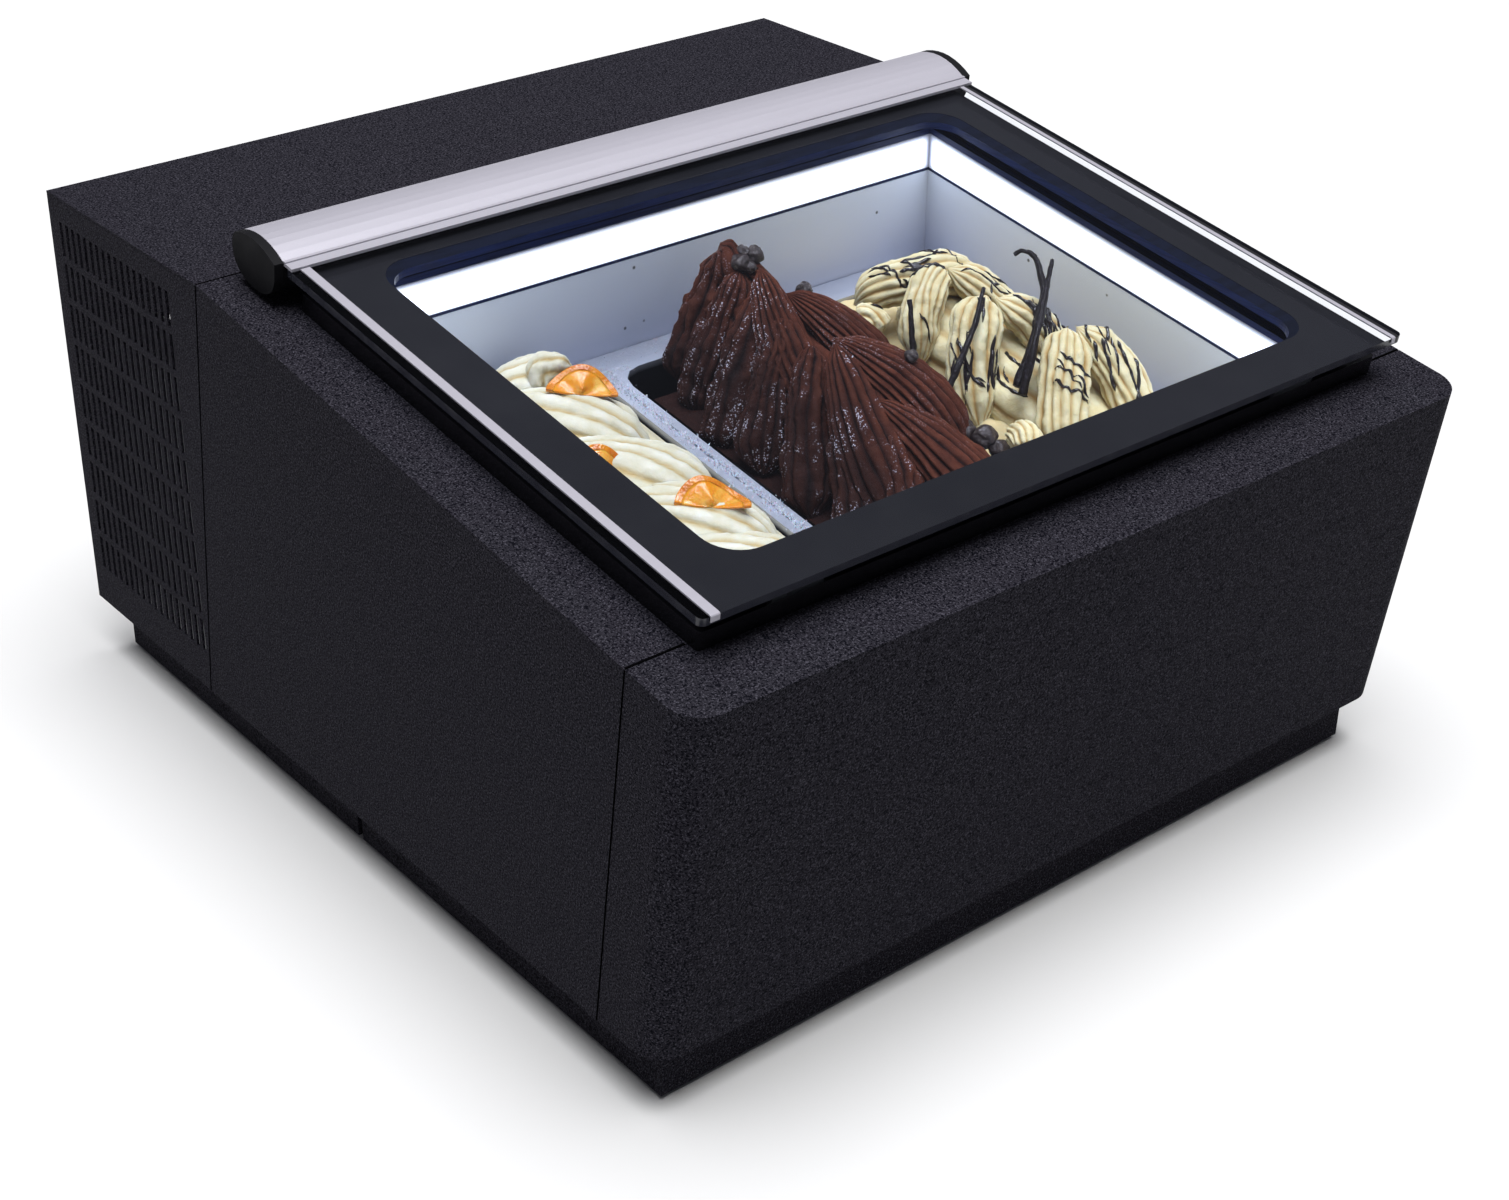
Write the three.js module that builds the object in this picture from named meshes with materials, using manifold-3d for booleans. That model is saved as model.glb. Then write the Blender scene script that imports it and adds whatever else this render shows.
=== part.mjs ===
// Countertop display freezer for three pans of ice cream: an insulated front body with a sloping
// deck and a flip-up glass lid, and a louvred machine box behind it.
// Millimetres, +Z up, +Y to the operator's side at the back, origin under the middle of the footprint.
import * as THREE from "three";
import { mergeVertices } from "three/addons/utils/BufferGeometryUtils.js";
import Module from "manifold-3d";

const wasm = await Module();
wasm.setup();

// ---------------------------------------------------------------- driving dimensions
const WIDTH = 700;
const DEPTH = 770;
const REAR_TOP = 396; // height of the flat top of the machine box
const SLOPE = THREE.MathUtils.degToRad(8.7); // the deck and lid fall towards the customer
const LEAN = THREE.MathUtils.degToRad(7); // the front face and both seams lean back going down
const FOOT_HEIGHT = 4; // rubber pads under the plinth
const PANEL_BOTTOM = 47; // lower edge of the outer panels
const PLINTH_INSET = 18;
const SHEET = 2; // thickness of the painted sheet steel
const GAP = 0.3; // clearance between pieces that touch
const SEAM = 0.6; // visible gap between outer panels
const CORNER_RADIUS = 24; // upright corners of the front panel
const MACHINE_DEPTH = 228; // flat-topped box at the back
const FRONT_RETURN = 60; // how far the front panel wraps onto the sides and deck

const HALF = WIDTH / 2;
const FRONT_Y = -DEPTH / 2;
const REAR_Y = DEPTH / 2;
const REAR_SEAM_Y = REAR_Y - MACHINE_DEPTH;
const FRONT_SEAM_Y = FRONT_Y + FRONT_RETURN;
const FRONT_TOP = REAR_TOP - (REAR_SEAM_Y - FRONT_Y) * Math.tan(SLOPE);

// The well, whose walls are upright
const WELL_HALF = 262;
const WELL_FRONT = -305;
const WELL_REAR = 75;
const WELL_FLOOR = 96;
const LINER_WALL = 1.5;
const FOAM_CAVITY = 14; // room round the liner for the evaporator tube
const FOAM_HALF = 330;
const FOAM_FRONT = -342;
const FOAM_REAR = 140;

// Lid and collar, measured on the deck: s runs up the slope from the front edge, n stands off it
const COLLAR_HALF = 305;
const COLLAR_S = [50.5, 486];
const COLLAR_TOP = 14;
const COLLAR_SKIRT = 4;
const COLLAR_LIP = 2; // black lip that holds the light strips from below
const LED_N = [-18.7, 9];
const LED_THICK = 4;
const GLASS_HALF = 315;
const GLASS_S = [40, 489.5];
const GLASS_N = [28.4, 34];
const FRAME_HALF = 284;
const FRAME_S = [57, 489.5];
const FRAME_N = [16.3, 28.1];
const WINDOW_HALF = 260;
const WINDOW_S = [83, 457];
const WINDOW_RADIUS = 24;
const HANDLE_S = 490;
const HANDLE_HALF = 315;
const HINGE = { s: 60.5, n: 18.5, x: 225, barrel: 4, bore: 2.1, pin: 1.8 };

// Pans, tilted with the deck
const PAN_WIDTH = 163;
const PAN_LENGTH = 358;
const PAN_PITCH = 165;
const PAN_DEPTH = 118;
const PAN_S = 252.5; // middle of the pans along the slope
const PAN_RIM_N = -88.5;
const PAN_WALL = 1.5;

// ---------------------------------------------------------------- helpers
// A closed geometry as a manifold solid, with its shared vertices merged.
function solid(geometry) {
  const bare = geometry.index ? geometry.toNonIndexed() : geometry.clone();
  bare.deleteAttribute("normal");
  bare.deleteAttribute("uv");
  const merged = mergeVertices(bare, 1e-4);
  return new wasm.Manifold(
    new wasm.Mesh({
      numProp: 3,
      vertProperties: merged.attributes.position.array,
      triVerts: new Uint32Array(merged.index.array),
    }),
  );
}

// A manifold solid as a flat-shaded geometry.
function geometryOf(body) {
  const mesh = body.getMesh();
  const geometry = new THREE.BufferGeometry();
  geometry.setAttribute("position", new THREE.BufferAttribute(new Float32Array(mesh.vertProperties), 3));
  geometry.setIndex(new THREE.BufferAttribute(new Uint32Array(mesh.triVerts), 1));
  const flat = geometry.toNonIndexed();
  flat.computeVertexNormals();
  return flat;
}

function boxGeometry([x0, x1], [y0, y1], [z0, z1]) {
  return new THREE.BoxGeometry(x1 - x0, y1 - y0, z1 - z0).translate(
    (x0 + x1) / 2,
    (y0 + y1) / 2,
    (z0 + z1) / 2,
  );
}

const box = (x, y, z) => solid(boxGeometry(x, y, z));

// A box that is symmetric about x = 0.
const wideBox = (half, y, z) => box([-half, half], y, z);

// A rectangle with round corners, as a shape in X and Y.
function roundedRect([x0, x1], [y0, y1], radius) {
  const shape = new THREE.Shape();
  shape.moveTo(x0 + radius, y0);
  shape.lineTo(x1 - radius, y0);
  shape.absarc(x1 - radius, y0 + radius, radius, -Math.PI / 2, 0);
  shape.lineTo(x1, y1 - radius);
  shape.absarc(x1 - radius, y1 - radius, radius, 0, Math.PI / 2);
  shape.lineTo(x0 + radius, y1);
  shape.absarc(x0 + radius, y1 - radius, radius, Math.PI / 2, Math.PI);
  shape.lineTo(x0, y0 + radius);
  shape.absarc(x0 + radius, y0 + radius, radius, Math.PI, 1.5 * Math.PI);
  return shape;
}

// A shape in X and Y extruded upwards from z0 to z1.
function prism(shape, [z0, z1], curveSegments = 6) {
  const geometry = new THREE.ExtrudeGeometry(shape, {
    depth: z1 - z0,
    bevelEnabled: false,
    curveSegments,
  });
  return geometry.translate(0, 0, z0);
}

const roundedBox = (x, y, z, radius) => solid(prism(roundedRect(x, y, radius), z, 5));

// A cylinder along an axis, centred on a point.
function cylinder(radius, length, axis, centre, segments = 20) {
  const geometry = new THREE.CylinderGeometry(radius, radius, length, segments);
  if (axis === "x") geometry.rotateZ(Math.PI / 2);
  if (axis === "z") geometry.rotateX(Math.PI / 2);
  return solid(geometry.translate(...centre));
}

// Turns geometry or a solid's geometry from deck coordinates (x, s, n) to the object's frame.
const deckMatrix = new THREE.Matrix4()
  .makeTranslation(0, FRONT_Y, FRONT_TOP)
  .multiply(new THREE.Matrix4().makeRotationX(SLOPE));

function fromDeck(body) {
  return solid(geometryOf(body).applyMatrix4(deckMatrix));
}

// The layer between two heights off the deck, over the whole object.
const FAR = 900;
const deckLayer = (n0, n1) => fromDeck(wideBox(FAR, [-FAR, FAR], [n0, n1]));

// Leans a geometry back as it goes down from the height of the front edge of the deck.
function leanBack(geometry, fromHeight) {
  const position = geometry.getAttribute("position");
  for (let i = 0; i < position.count; i += 1) {
    const drop = fromHeight - position.getZ(i);
    position.setY(i, position.getY(i) + drop * Math.tan(LEAN));
  }
  return geometry;
}

// A closed body through rings of points that all have the same count, capped at both ends.
function loft(rings) {
  const count = rings[0].length;
  const points = rings.flat();
  const indices = [];
  for (let r = 0; r < rings.length - 1; r += 1) {
    for (let i = 0; i < count; i += 1) {
      const a = r * count + i;
      const b = r * count + ((i + 1) % count);
      indices.push(a, b, b + count, a, b + count, a + count);
    }
  }
  const cap = (ring, offset, flip) => {
    const middle = ring.reduce((sum, p) => sum.add(p), new THREE.Vector3()).divideScalar(count);
    points.push(middle);
    for (let i = 0; i < count; i += 1) {
      const a = offset + i;
      const b = offset + ((i + 1) % count);
      indices.push(...(flip ? [points.length - 1, b, a] : [points.length - 1, a, b]));
    }
  };
  cap(rings[0], 0, true);
  cap(rings[rings.length - 1], (rings.length - 1) * count, false);
  const geometry = new THREE.BufferGeometry().setFromPoints(points);
  geometry.setIndex(indices);
  return solid(geometry);
}

// A ring of points round a rectangle with round corners, at one height.
function ring([halfX, halfY], radius, [cx, cy], z, perCorner = 4) {
  const points = [];
  for (let corner = 0; corner < 4; corner += 1) {
    const sx = corner === 0 || corner === 3 ? 1 : -1;
    const sy = corner < 2 ? 1 : -1;
    for (let i = 0; i < perCorner; i += 1) {
      const angle = (corner + i / (perCorner - 1)) * (Math.PI / 2);
      points.push(
        new THREE.Vector3(
          cx + sx * (halfX - radius) + radius * Math.cos(angle),
          cy + sy * (halfY - radius) + radius * Math.sin(angle),
          z,
        ),
      );
    }
  }
  return points;
}

const UP = new THREE.Vector3(0, 0, 1);
const BACK = new THREE.Vector3(0, 1, 0);

// A round tube along straight runs joined by round bends. Its turns must never run along `reference`.
function tube(points, radius, bend, reference, sides = 8) {
  const corners = points.map((p) => new THREE.Vector3(...p));
  const last = corners.length - 1;
  const heading = (i) => corners[i + 1].clone().sub(corners[i]).normalize();
  const stations = [{ at: corners[0], along: heading(0) }];
  const bendSteps = 3;
  for (let i = 1; i < last; i += 1) {
    const start = corners[i].clone().addScaledVector(heading(i - 1), -bend);
    const end = corners[i].clone().addScaledVector(heading(i), bend);
    const curve = new THREE.QuadraticBezierCurve3(start, corners[i], end);
    for (let step = 0; step <= bendSteps; step += 1) {
      const t = step / bendSteps;
      stations.push({ at: curve.getPoint(t), along: curve.getTangent(t) });
    }
  }
  stations.push({ at: corners[last], along: heading(last - 1) });
  return loft(
    stations.map(({ at, along }) => {
      const across = along.clone().cross(reference).normalize();
      const up = along.clone().cross(across);
      return Array.from({ length: sides }, (_, i) => {
        const angle = (2 * Math.PI * i) / sides;
        return at
          .clone()
          .addScaledVector(across, radius * Math.cos(angle))
          .addScaledVector(up, radius * Math.sin(angle));
      });
    }),
  );
}

const paints = {
  blackSheet: { color: 0x2b2a30, roughness: 0.55, metalness: 0.1 },
  blackPlastic: { color: 0x141418, roughness: 0.35, metalness: 0 },
  rubber: { color: 0x101012, roughness: 0.9, metalness: 0 },
  aluminium: { color: 0xd5d5de, roughness: 0.3, metalness: 0.9 },
  steel: { color: 0xb9bec8, roughness: 0.3, metalness: 0.9 },
  galvanised: { color: 0x8f959c, roughness: 0.5, metalness: 0.7 },
  copper: { color: 0xb87343, roughness: 0.35, metalness: 0.9 },
  glass: { color: 0x1a1d24, roughness: 0.05, metalness: 0, transparent: true, opacity: 0.4 },
  diffuser: { color: 0xffffff, roughness: 0.4, metalness: 0, emissive: 0xffffff },
  foam: { color: 0xe6d9a8, roughness: 0.95, metalness: 0 },
  orangeCream: { color: 0xf6e3b4, roughness: 0.6, metalness: 0 },
  chocolate: { color: 0x4a2a1e, roughness: 0.7, metalness: 0 },
  vanilla: { color: 0xefe0b0, roughness: 0.6, metalness: 0 },
};
const materials = Object.fromEntries(
  Object.entries(paints).map(([name, values]) => [name, new THREE.MeshStandardMaterial(values)]),
);

const freezer = new THREE.Group();
const deck = new THREE.Group(); // pieces given in deck coordinates
deck.position.set(0, FRONT_Y, FRONT_TOP);
deck.rotation.x = SLOPE;
freezer.add(deck);

function place(group, name, body, paint) {
  const geometry = body.isBufferGeometry ? body : geometryOf(body);
  const mesh = new THREE.Mesh(geometry, materials[paint]);
  mesh.name = name;
  group.add(mesh);
  return mesh;
}

// ---------------------------------------------------------------- base
const PLINTH_HALF = HALF - PLINTH_INSET;
const PLINTH_TOP = PANEL_BOTTOM - GAP;
const PLINTH_FRONT = FRONT_Y + (FRONT_TOP - PANEL_BOTTOM) * Math.tan(LEAN) + PLINTH_INSET;
const PLINTH_REAR = REAR_Y - PLINTH_INSET;
const PLINTH_SPLIT = 19; // a narrow gap between the two trays
const PLINTH_GAP = 6;

function tray(y0, y1) {
  const outside = wideBox(PLINTH_HALF, [y0, y1], [FOOT_HEIGHT, PLINTH_TOP]);
  const inside = wideBox(
    PLINTH_HALF - SHEET,
    [y0 + SHEET, y1 - SHEET],
    [FOOT_HEIGHT + SHEET, PLINTH_TOP + 1],
  );
  return outside.subtract(inside);
}

function addBase() {
  place(freezer, "front_plinth_tray", tray(PLINTH_FRONT, PLINTH_SPLIT - PLINTH_GAP / 2), "blackSheet");
  place(freezer, "machine_base_tray", tray(PLINTH_SPLIT + PLINTH_GAP / 2, PLINTH_REAR), "blackSheet");
  const footX = PLINTH_HALF - 45;
  const footHeight = FOOT_HEIGHT - GAP;
  const feet = {
    foot_front_left: [-footX, PLINTH_FRONT + 45],
    foot_front_right: [footX, PLINTH_FRONT + 45],
    foot_rear_left: [-footX, PLINTH_REAR - 45],
    foot_rear_right: [footX, PLINTH_REAR - 45],
  };
  for (const [name, [x, y]] of Object.entries(feet)) {
    const foot = new THREE.CylinderGeometry(20, 18, footHeight, 20).rotateX(Math.PI / 2);
    place(freezer, name, foot.translate(x, y, footHeight / 2), "rubber");
  }
}

// ---------------------------------------------------------------- outer panels
// Plan outline of the front body with its two round upright corners.
function frontPlan(inset, rearY) {
  const x = HALF - inset;
  const y = FRONT_Y + inset;
  const radius = CORNER_RADIUS - inset;
  const shape = new THREE.Shape();
  shape.moveTo(x, rearY);
  shape.lineTo(-x, rearY);
  shape.lineTo(-x, y + radius);
  shape.absarc(-x + radius, y + radius, radius, Math.PI, 1.5 * Math.PI);
  shape.lineTo(x - radius, y);
  shape.absarc(x - radius, y + radius, radius, 1.5 * Math.PI, 2 * Math.PI);
  return shape;
}

function leaningBlock(shape, bottom) {
  return solid(leanBack(prism(shape, [bottom, REAR_TOP + 60], 8), FRONT_TOP));
}

function frontPanel() {
  const outside = leaningBlock(frontPlan(0, FRONT_SEAM_Y), PANEL_BOTTOM);
  const inside = leaningBlock(frontPlan(SHEET, FRONT_SEAM_Y + 20), PANEL_BOTTOM - 10);
  return outside
    .intersect(deckLayer(-FAR, 0))
    .subtract(inside.intersect(deckLayer(-FAR, -SHEET)));
}

function bodyShell() {
  // The leaning rear edge meets the seam of the machine box at the top.
  const rear = REAR_SEAM_Y + (REAR_TOP - FRONT_TOP) * Math.tan(LEAN) - SEAM;
  const plan = (inset, y0, y1) => {
    const shape = new THREE.Shape();
    shape.moveTo(-HALF + inset, y0);
    shape.lineTo(HALF - inset, y0);
    shape.lineTo(HALF - inset, y1);
    shape.lineTo(-HALF + inset, y1);
    return shape;
  };
  const outside = leaningBlock(plan(0, FRONT_SEAM_Y + SEAM, rear), PANEL_BOTTOM);
  const inside = leaningBlock(plan(SHEET, FRONT_SEAM_Y - 20, rear + 20), PANEL_BOTTOM - 10);
  const opening = wideBox(
    WELL_HALF + LED_THICK + COLLAR_SKIRT + 2,
    [WELL_FRONT - LED_THICK - COLLAR_SKIRT - 2, WELL_REAR + LED_THICK + COLLAR_SKIRT + 2],
    [250, 450],
  );
  return outside
    .intersect(deckLayer(-FAR, 0))
    .subtract(inside.intersect(deckLayer(-FAR, -SHEET)))
    .subtract(opening);
}

const COVER_BOTTOM = REAR_TOP - SHEET;

function machineTopCover() {
  const flange = 22;
  const inner = HALF - SHEET - GAP;
  const plate = wideBox(HALF, [REAR_SEAM_Y, REAR_Y], [COVER_BOTTOM, REAR_TOP]);
  const flangeY = [REAR_SEAM_Y + 2, REAR_Y - 14];
  const flanges = wideBox(inner, flangeY, [COVER_BOTTOM - flange, COVER_BOTTOM + 1]);
  const room = wideBox(inner - SHEET, [REAR_SEAM_Y, REAR_Y], [COVER_BOTTOM - flange - 1, COVER_BOTTOM]);
  return plate.add(flanges.subtract(room));
}

// Upright slots in the side grilles: columns along Y and rows along Z.
const LOUVRE = { columns: 18, rows: 9, firstY: 203, lastY: 367, bottom: 78, top: 379, slot: 4.6, bar: 5.5 };

function sideGrille(side) {
  const top = COVER_BOTTOM - GAP;
  const x = side < 0 ? [-HALF, -HALF + SHEET] : [HALF - SHEET, HALF];
  const leaningEdge = leanBack(boxGeometry(x, [REAR_SEAM_Y, REAR_Y + 80], [PANEL_BOTTOM, top]), REAR_TOP);
  let sheet = solid(leaningEdge).intersect(box(x, [REAR_SEAM_Y, REAR_Y], [PANEL_BOTTOM, top]));
  const rowPitch = (LOUVRE.top - LOUVRE.bottom) / LOUVRE.rows;
  const columnPitch = (LOUVRE.lastY - LOUVRE.firstY) / (LOUVRE.columns - 1);
  for (let row = 0; row < LOUVRE.rows; row += 1) {
    const z0 = LOUVRE.bottom + row * rowPitch + LOUVRE.bar / 2;
    for (let column = 0; column < LOUVRE.columns; column += 1) {
      const y0 = LOUVRE.firstY + column * columnPitch - LOUVRE.slot / 2;
      const slot = box([x[0] - 5, x[1] + 5], [y0, y0 + LOUVRE.slot], [z0, z0 + rowPitch - LOUVRE.bar]);
      sheet = sheet.subtract(slot);
    }
  }
  return sheet;
}

// The back panel sits a little inside the edges of the sides and cover.
const BACK_Y = REAR_Y - 6;
const CONTROL = { x: [150, 260], z: [306, 352] };
const INLET = { x: [-250, -194], z: [74, 110] };
const SWITCH = { x: [-176, -146], z: [80, 104] };

function backPanel() {
  const inner = HALF - SHEET - GAP;
  const y = [BACK_Y - SHEET, BACK_Y];
  let panel = wideBox(inner, y, [PANEL_BOTTOM, COVER_BOTTOM - GAP]);
  const cutY = [BACK_Y - 10, BACK_Y + 10];
  for (const { x, z } of [CONTROL, INLET, SWITCH]) {
    panel = panel.subtract(box([x[0] - GAP, x[1] + GAP], cutY, [z[0] - GAP, z[1] + GAP]));
  }
  const slots = { count: 9, bottom: 150, pitch: 15, height: 5, length: 150 };
  for (let i = 0; i < slots.count; i += 1) {
    const z0 = slots.bottom + i * slots.pitch;
    for (const x of [-200, 0, 200]) {
      const span = [x - slots.length / 2, x + slots.length / 2];
      panel = panel.subtract(box(span, cutY, [z0, z0 + slots.height]));
    }
  }
  return panel;
}

function addPanels() {
  place(freezer, "front_panel", frontPanel(), "blackSheet");
  place(freezer, "body_shell", bodyShell(), "blackSheet");
  place(freezer, "machine_top_cover", machineTopCover(), "blackSheet");
  place(freezer, "side_grille_left", sideGrille(-1), "blackSheet");
  place(freezer, "side_grille_right", sideGrille(1), "blackSheet");
  place(freezer, "back_panel", backPanel(), "blackSheet");
}

// ---------------------------------------------------------------- cold well
const LINER_TOP_N = LED_N[0] - COLLAR_LIP - 2 * GAP; // the steel wall starts under the collar's lip

// An upright block of the well's plan, grown by a margin.
function wellBlock(margin, z0, z1 = 480) {
  return wideBox(WELL_HALF + margin, [WELL_FRONT - margin, WELL_REAR + margin], [z0, z1]);
}

function wellLiner() {
  return wellBlock(LINER_WALL, WELL_FLOOR - LINER_WALL)
    .subtract(wellBlock(0, WELL_FLOOR))
    .intersect(deckLayer(-FAR, LINER_TOP_N));
}

function tankInsulation() {
  return wideBox(FOAM_HALF, [FOAM_FRONT, FOAM_REAR], [PANEL_BOTTOM + GAP, 460])
    .intersect(deckLayer(-FAR, -SHEET - GAP))
    .subtract(wellBlock(FOAM_CAVITY, WELL_FLOOR - FOAM_CAVITY));
}

// Three turns of tube that climb round the outside of the liner.
function evaporatorCoil() {
  const radius = 4;
  const offset = LINER_WALL + radius + 3;
  const x = WELL_HALF + offset;
  const front = WELL_FRONT - offset;
  const rear = WELL_REAR + offset;
  const turns = 3;
  const rise = 34;
  const points = [[0, rear, 108]];
  for (let turn = 0; turn < turns; turn += 1) {
    const z = 112 + turn * rise;
    points.push([x, rear, z], [x, front, z + rise / 4]);
    points.push([-x, front, z + rise / 2], [-x, rear, z + rise * 0.75]);
  }
  points.push([-20, rear, 112 + turns * rise]);
  return tube(points, radius, 14, UP);
}

// A sloping sheet with a hole for each pan, folded down at its edges and standing on four corner legs.
function panSupport() {
  const sheetN = [PAN_RIM_N - 3.2, PAN_RIM_N - 1.5];
  const margin = 1;
  const foldDepth = 12;
  const legWidth = 30;
  const legFoot = WELL_FLOOR + 1;
  const underSheet = deckLayer(-FAR, sheetN[0]);
  const underFold = deckLayer(-FAR, sheetN[0] - foldDepth);
  const inside = wellBlock(-margin - LINER_WALL, legFoot - 1).intersect(underSheet);
  const between = [legFoot - 1, 235];
  const openEnds = wideBox(WELL_HALF - legWidth, [WELL_FRONT - 5, WELL_REAR + 5], between);
  const openSides = wideBox(FAR, [WELL_FRONT + legWidth, WELL_REAR - legWidth], between);
  let frame = wellBlock(-margin, legFoot)
    .intersect(deckLayer(-FAR, sheetN[1]))
    .subtract(inside)
    .subtract(openEnds.intersect(underFold))
    .subtract(openSides.intersect(underFold));
  const hole = { halfX: 77, halfS: 174.5, radius: 22 };
  for (const column of [-1, 0, 1]) {
    const x = column * PAN_PITCH;
    const spanX = [x - hole.halfX, x + hole.halfX];
    const spanS = [PAN_S - hole.halfS, PAN_S + hole.halfS];
    frame = frame.subtract(fromDeck(roundedBox(spanX, spanS, [sheetN[0] - 5, sheetN[1] + 5], hole.radius)));
  }
  return frame;
}

function pan(x) {
  const rim = roundedBox(
    [x - PAN_WIDTH / 2, x + PAN_WIDTH / 2],
    [PAN_S - PAN_LENGTH / 2, PAN_S + PAN_LENGTH / 2],
    [PAN_RIM_N - 1.2, PAN_RIM_N],
    14,
  );
  const shellRing = (shrink, z) => {
    const taper = (PAN_RIM_N - z) * 0.05;
    return ring([75.5 - shrink - taper, 173 - shrink - taper], 22 - shrink, [x, PAN_S], z);
  };
  const bottom = PAN_RIM_N - PAN_DEPTH;
  const outside = loft([shellRing(0, bottom), shellRing(0, PAN_RIM_N - 0.1)]);
  const inside = loft([shellRing(PAN_WALL, bottom + PAN_WALL), shellRing(PAN_WALL, PAN_RIM_N + 2)]);
  return rim.add(outside).subtract(inside);
}

// A heap of ice cream: it fills its pan, then rises to a ridge through given levels.
// Each level is [height off the deck, half width, half length, shift along the slope].
function heap(x, levels) {
  const inPan = (z) => {
    const taper = (PAN_RIM_N - z) * 0.05;
    return ring([73.2 - taper, 170.7 - taper], 20, [x, PAN_S], z);
  };
  const low = PAN_RIM_N - PAN_DEPTH + PAN_WALL + 0.6;
  const above = levels.map(([n, halfX, halfS, shift]) => {
    return ring([halfX, halfS], Math.min(halfX, halfS) * 0.8, [x, PAN_S + shift], n);
  });
  return loft([inPan(low), inPan(PAN_RIM_N - 4), ...above]);
}

const heaps = {
  orange_cream_ice: {
    x: -PAN_PITCH,
    paint: "orangeCream",
    levels: [[-74, 68, 160, 4], [-52, 50, 146, 8], [-34, 22, 110, 20]],
  },
  chocolate_ice: {
    x: 0,
    paint: "chocolate",
    levels: [[-70, 70, 162, 0], [-45, 62, 145, 4], [-20, 40, 105, 20], [-4, 16, 50, 60], [7, 6, 12, 122]],
  },
  vanilla_ice: {
    x: PAN_PITCH,
    paint: "vanilla",
    levels: [[-72, 70, 160, 0], [-45, 58, 140, 0], [-20, 38, 105, 0], [-6, 14, 70, 0]],
  },
};

function addWell() {
  place(freezer, "tank_insulation", tankInsulation(), "foam");
  place(freezer, "well_liner", wellLiner(), "steel");
  place(freezer, "evaporator_coil", evaporatorCoil(), "copper");
  place(freezer, "pan_support_frame", panSupport(), "steel");
  place(deck, "pan_left", pan(-PAN_PITCH), "steel");
  place(deck, "pan_middle", pan(0), "steel");
  place(deck, "pan_right", pan(PAN_PITCH), "steel");
  for (const [name, { x, levels, paint }] of Object.entries(heaps)) {
    place(deck, name, heap(x, levels), paint);
  }
}

// ---------------------------------------------------------------- collar and lights
function wellCollar() {
  const block = fromDeck(roundedBox([-COLLAR_HALF, COLLAR_HALF], COLLAR_S, [GAP, COLLAR_TOP], 3));
  const skirtBottom = LED_N[0] - GAP - COLLAR_LIP;
  const skirt = wellBlock(LED_THICK + COLLAR_SKIRT, 200).intersect(deckLayer(skirtBottom, COLLAR_TOP - 1));
  const recess = wellBlock(LED_THICK + GAP, 200).intersect(deckLayer(LED_N[0] - GAP, LED_N[1] + GAP));
  return block.add(skirt).subtract(recess).subtract(wellBlock(0, 200));
}

function addLights() {
  const strip = (x, y) => box(x, y, [200, 480]).intersect(deckLayer(...LED_N));
  const edge = WELL_HALF + LED_THICK;
  const sideY = [WELL_FRONT + 0.4, WELL_REAR - 0.4];
  place(freezer, "light_strip_rear", strip([-edge, edge], [WELL_REAR, WELL_REAR + LED_THICK]), "diffuser");
  place(freezer, "light_strip_front", strip([-edge, edge], [WELL_FRONT - LED_THICK, WELL_FRONT]), "diffuser");
  place(freezer, "light_strip_left", strip([-edge, -WELL_HALF], sideY), "diffuser");
  place(freezer, "light_strip_right", strip([WELL_HALF, edge], sideY), "diffuser");
}

// ---------------------------------------------------------------- lid
const window = (half, s, n) => roundedBox([-half, half], s, n, WINDOW_RADIUS);

function lidFrame() {
  const rebate = 11;
  const through = [FRAME_N[0] - 1, FRAME_N[1] + 1];
  const rebateS = [WINDOW_S[0] - rebate, WINDOW_S[1] + rebate];
  let frame = roundedBox([-FRAME_HALF, FRAME_HALF], FRAME_S, FRAME_N, 4)
    .subtract(window(WINDOW_HALF, WINDOW_S, through))
    .subtract(window(WINDOW_HALF + rebate, rebateS, [FRAME_N[0] - 1, FRAME_N[0] + 6]));
  for (const side of [-1, 1]) {
    const x = side * HINGE.x;
    frame = frame.subtract(box([x - 24, x + 24], [FRAME_S[0] - 1, 71.8], through));
  }
  return frame;
}

function lowerPane() {
  const rim = 10.6;
  const s = [WINDOW_S[0] - rim, WINDOW_S[1] + rim];
  return window(WINDOW_HALF + rim, s, [FRAME_N[0] + 1.7, FRAME_N[0] + 5.7]);
}

function lidGasket() {
  const outside = roundedBox([-281, 281], [75.5, 483], [COLLAR_TOP + GAP, FRAME_N[0] - GAP], 8);
  const inside = roundedBox([-272.5, 272.5], [79.5, 470], [COLLAR_TOP - 1, FRAME_N[0] + 1], 8);
  return outside.subtract(inside);
}

// Outline of the handle's end in s and n: a shallow arch over a deep round belly.
function handleOutline() {
  const shape = new THREE.Shape();
  shape.moveTo(HANDLE_S, 36.5);
  shape.quadraticCurveTo(HANDLE_S + 27, 49, HANDLE_S + 52, 37);
  shape.quadraticCurveTo(HANDLE_S + 57, 33, HANDLE_S + 56, 24);
  shape.bezierCurveTo(HANDLE_S + 54, 8, HANDLE_S + 36, 4, HANDLE_S + 20, 6);
  shape.bezierCurveTo(HANDLE_S + 8, 8, HANDLE_S + 1, 14, HANDLE_S, 26);
  return shape;
}

// Turns a shape given in s and n into a bar along X between two places.
function alongX(shape, [x0, x1], curveSegments) {
  const bar = new THREE.ExtrudeGeometry(shape, { depth: x1 - x0, bevelEnabled: false, curveSegments });
  const turn = new THREE.Matrix4().makeBasis(
    new THREE.Vector3(0, 1, 0),
    new THREE.Vector3(0, 0, 1),
    new THREE.Vector3(1, 0, 0),
  );
  return solid(bar.applyMatrix4(turn).translate(x0, 0, 0));
}

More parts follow.
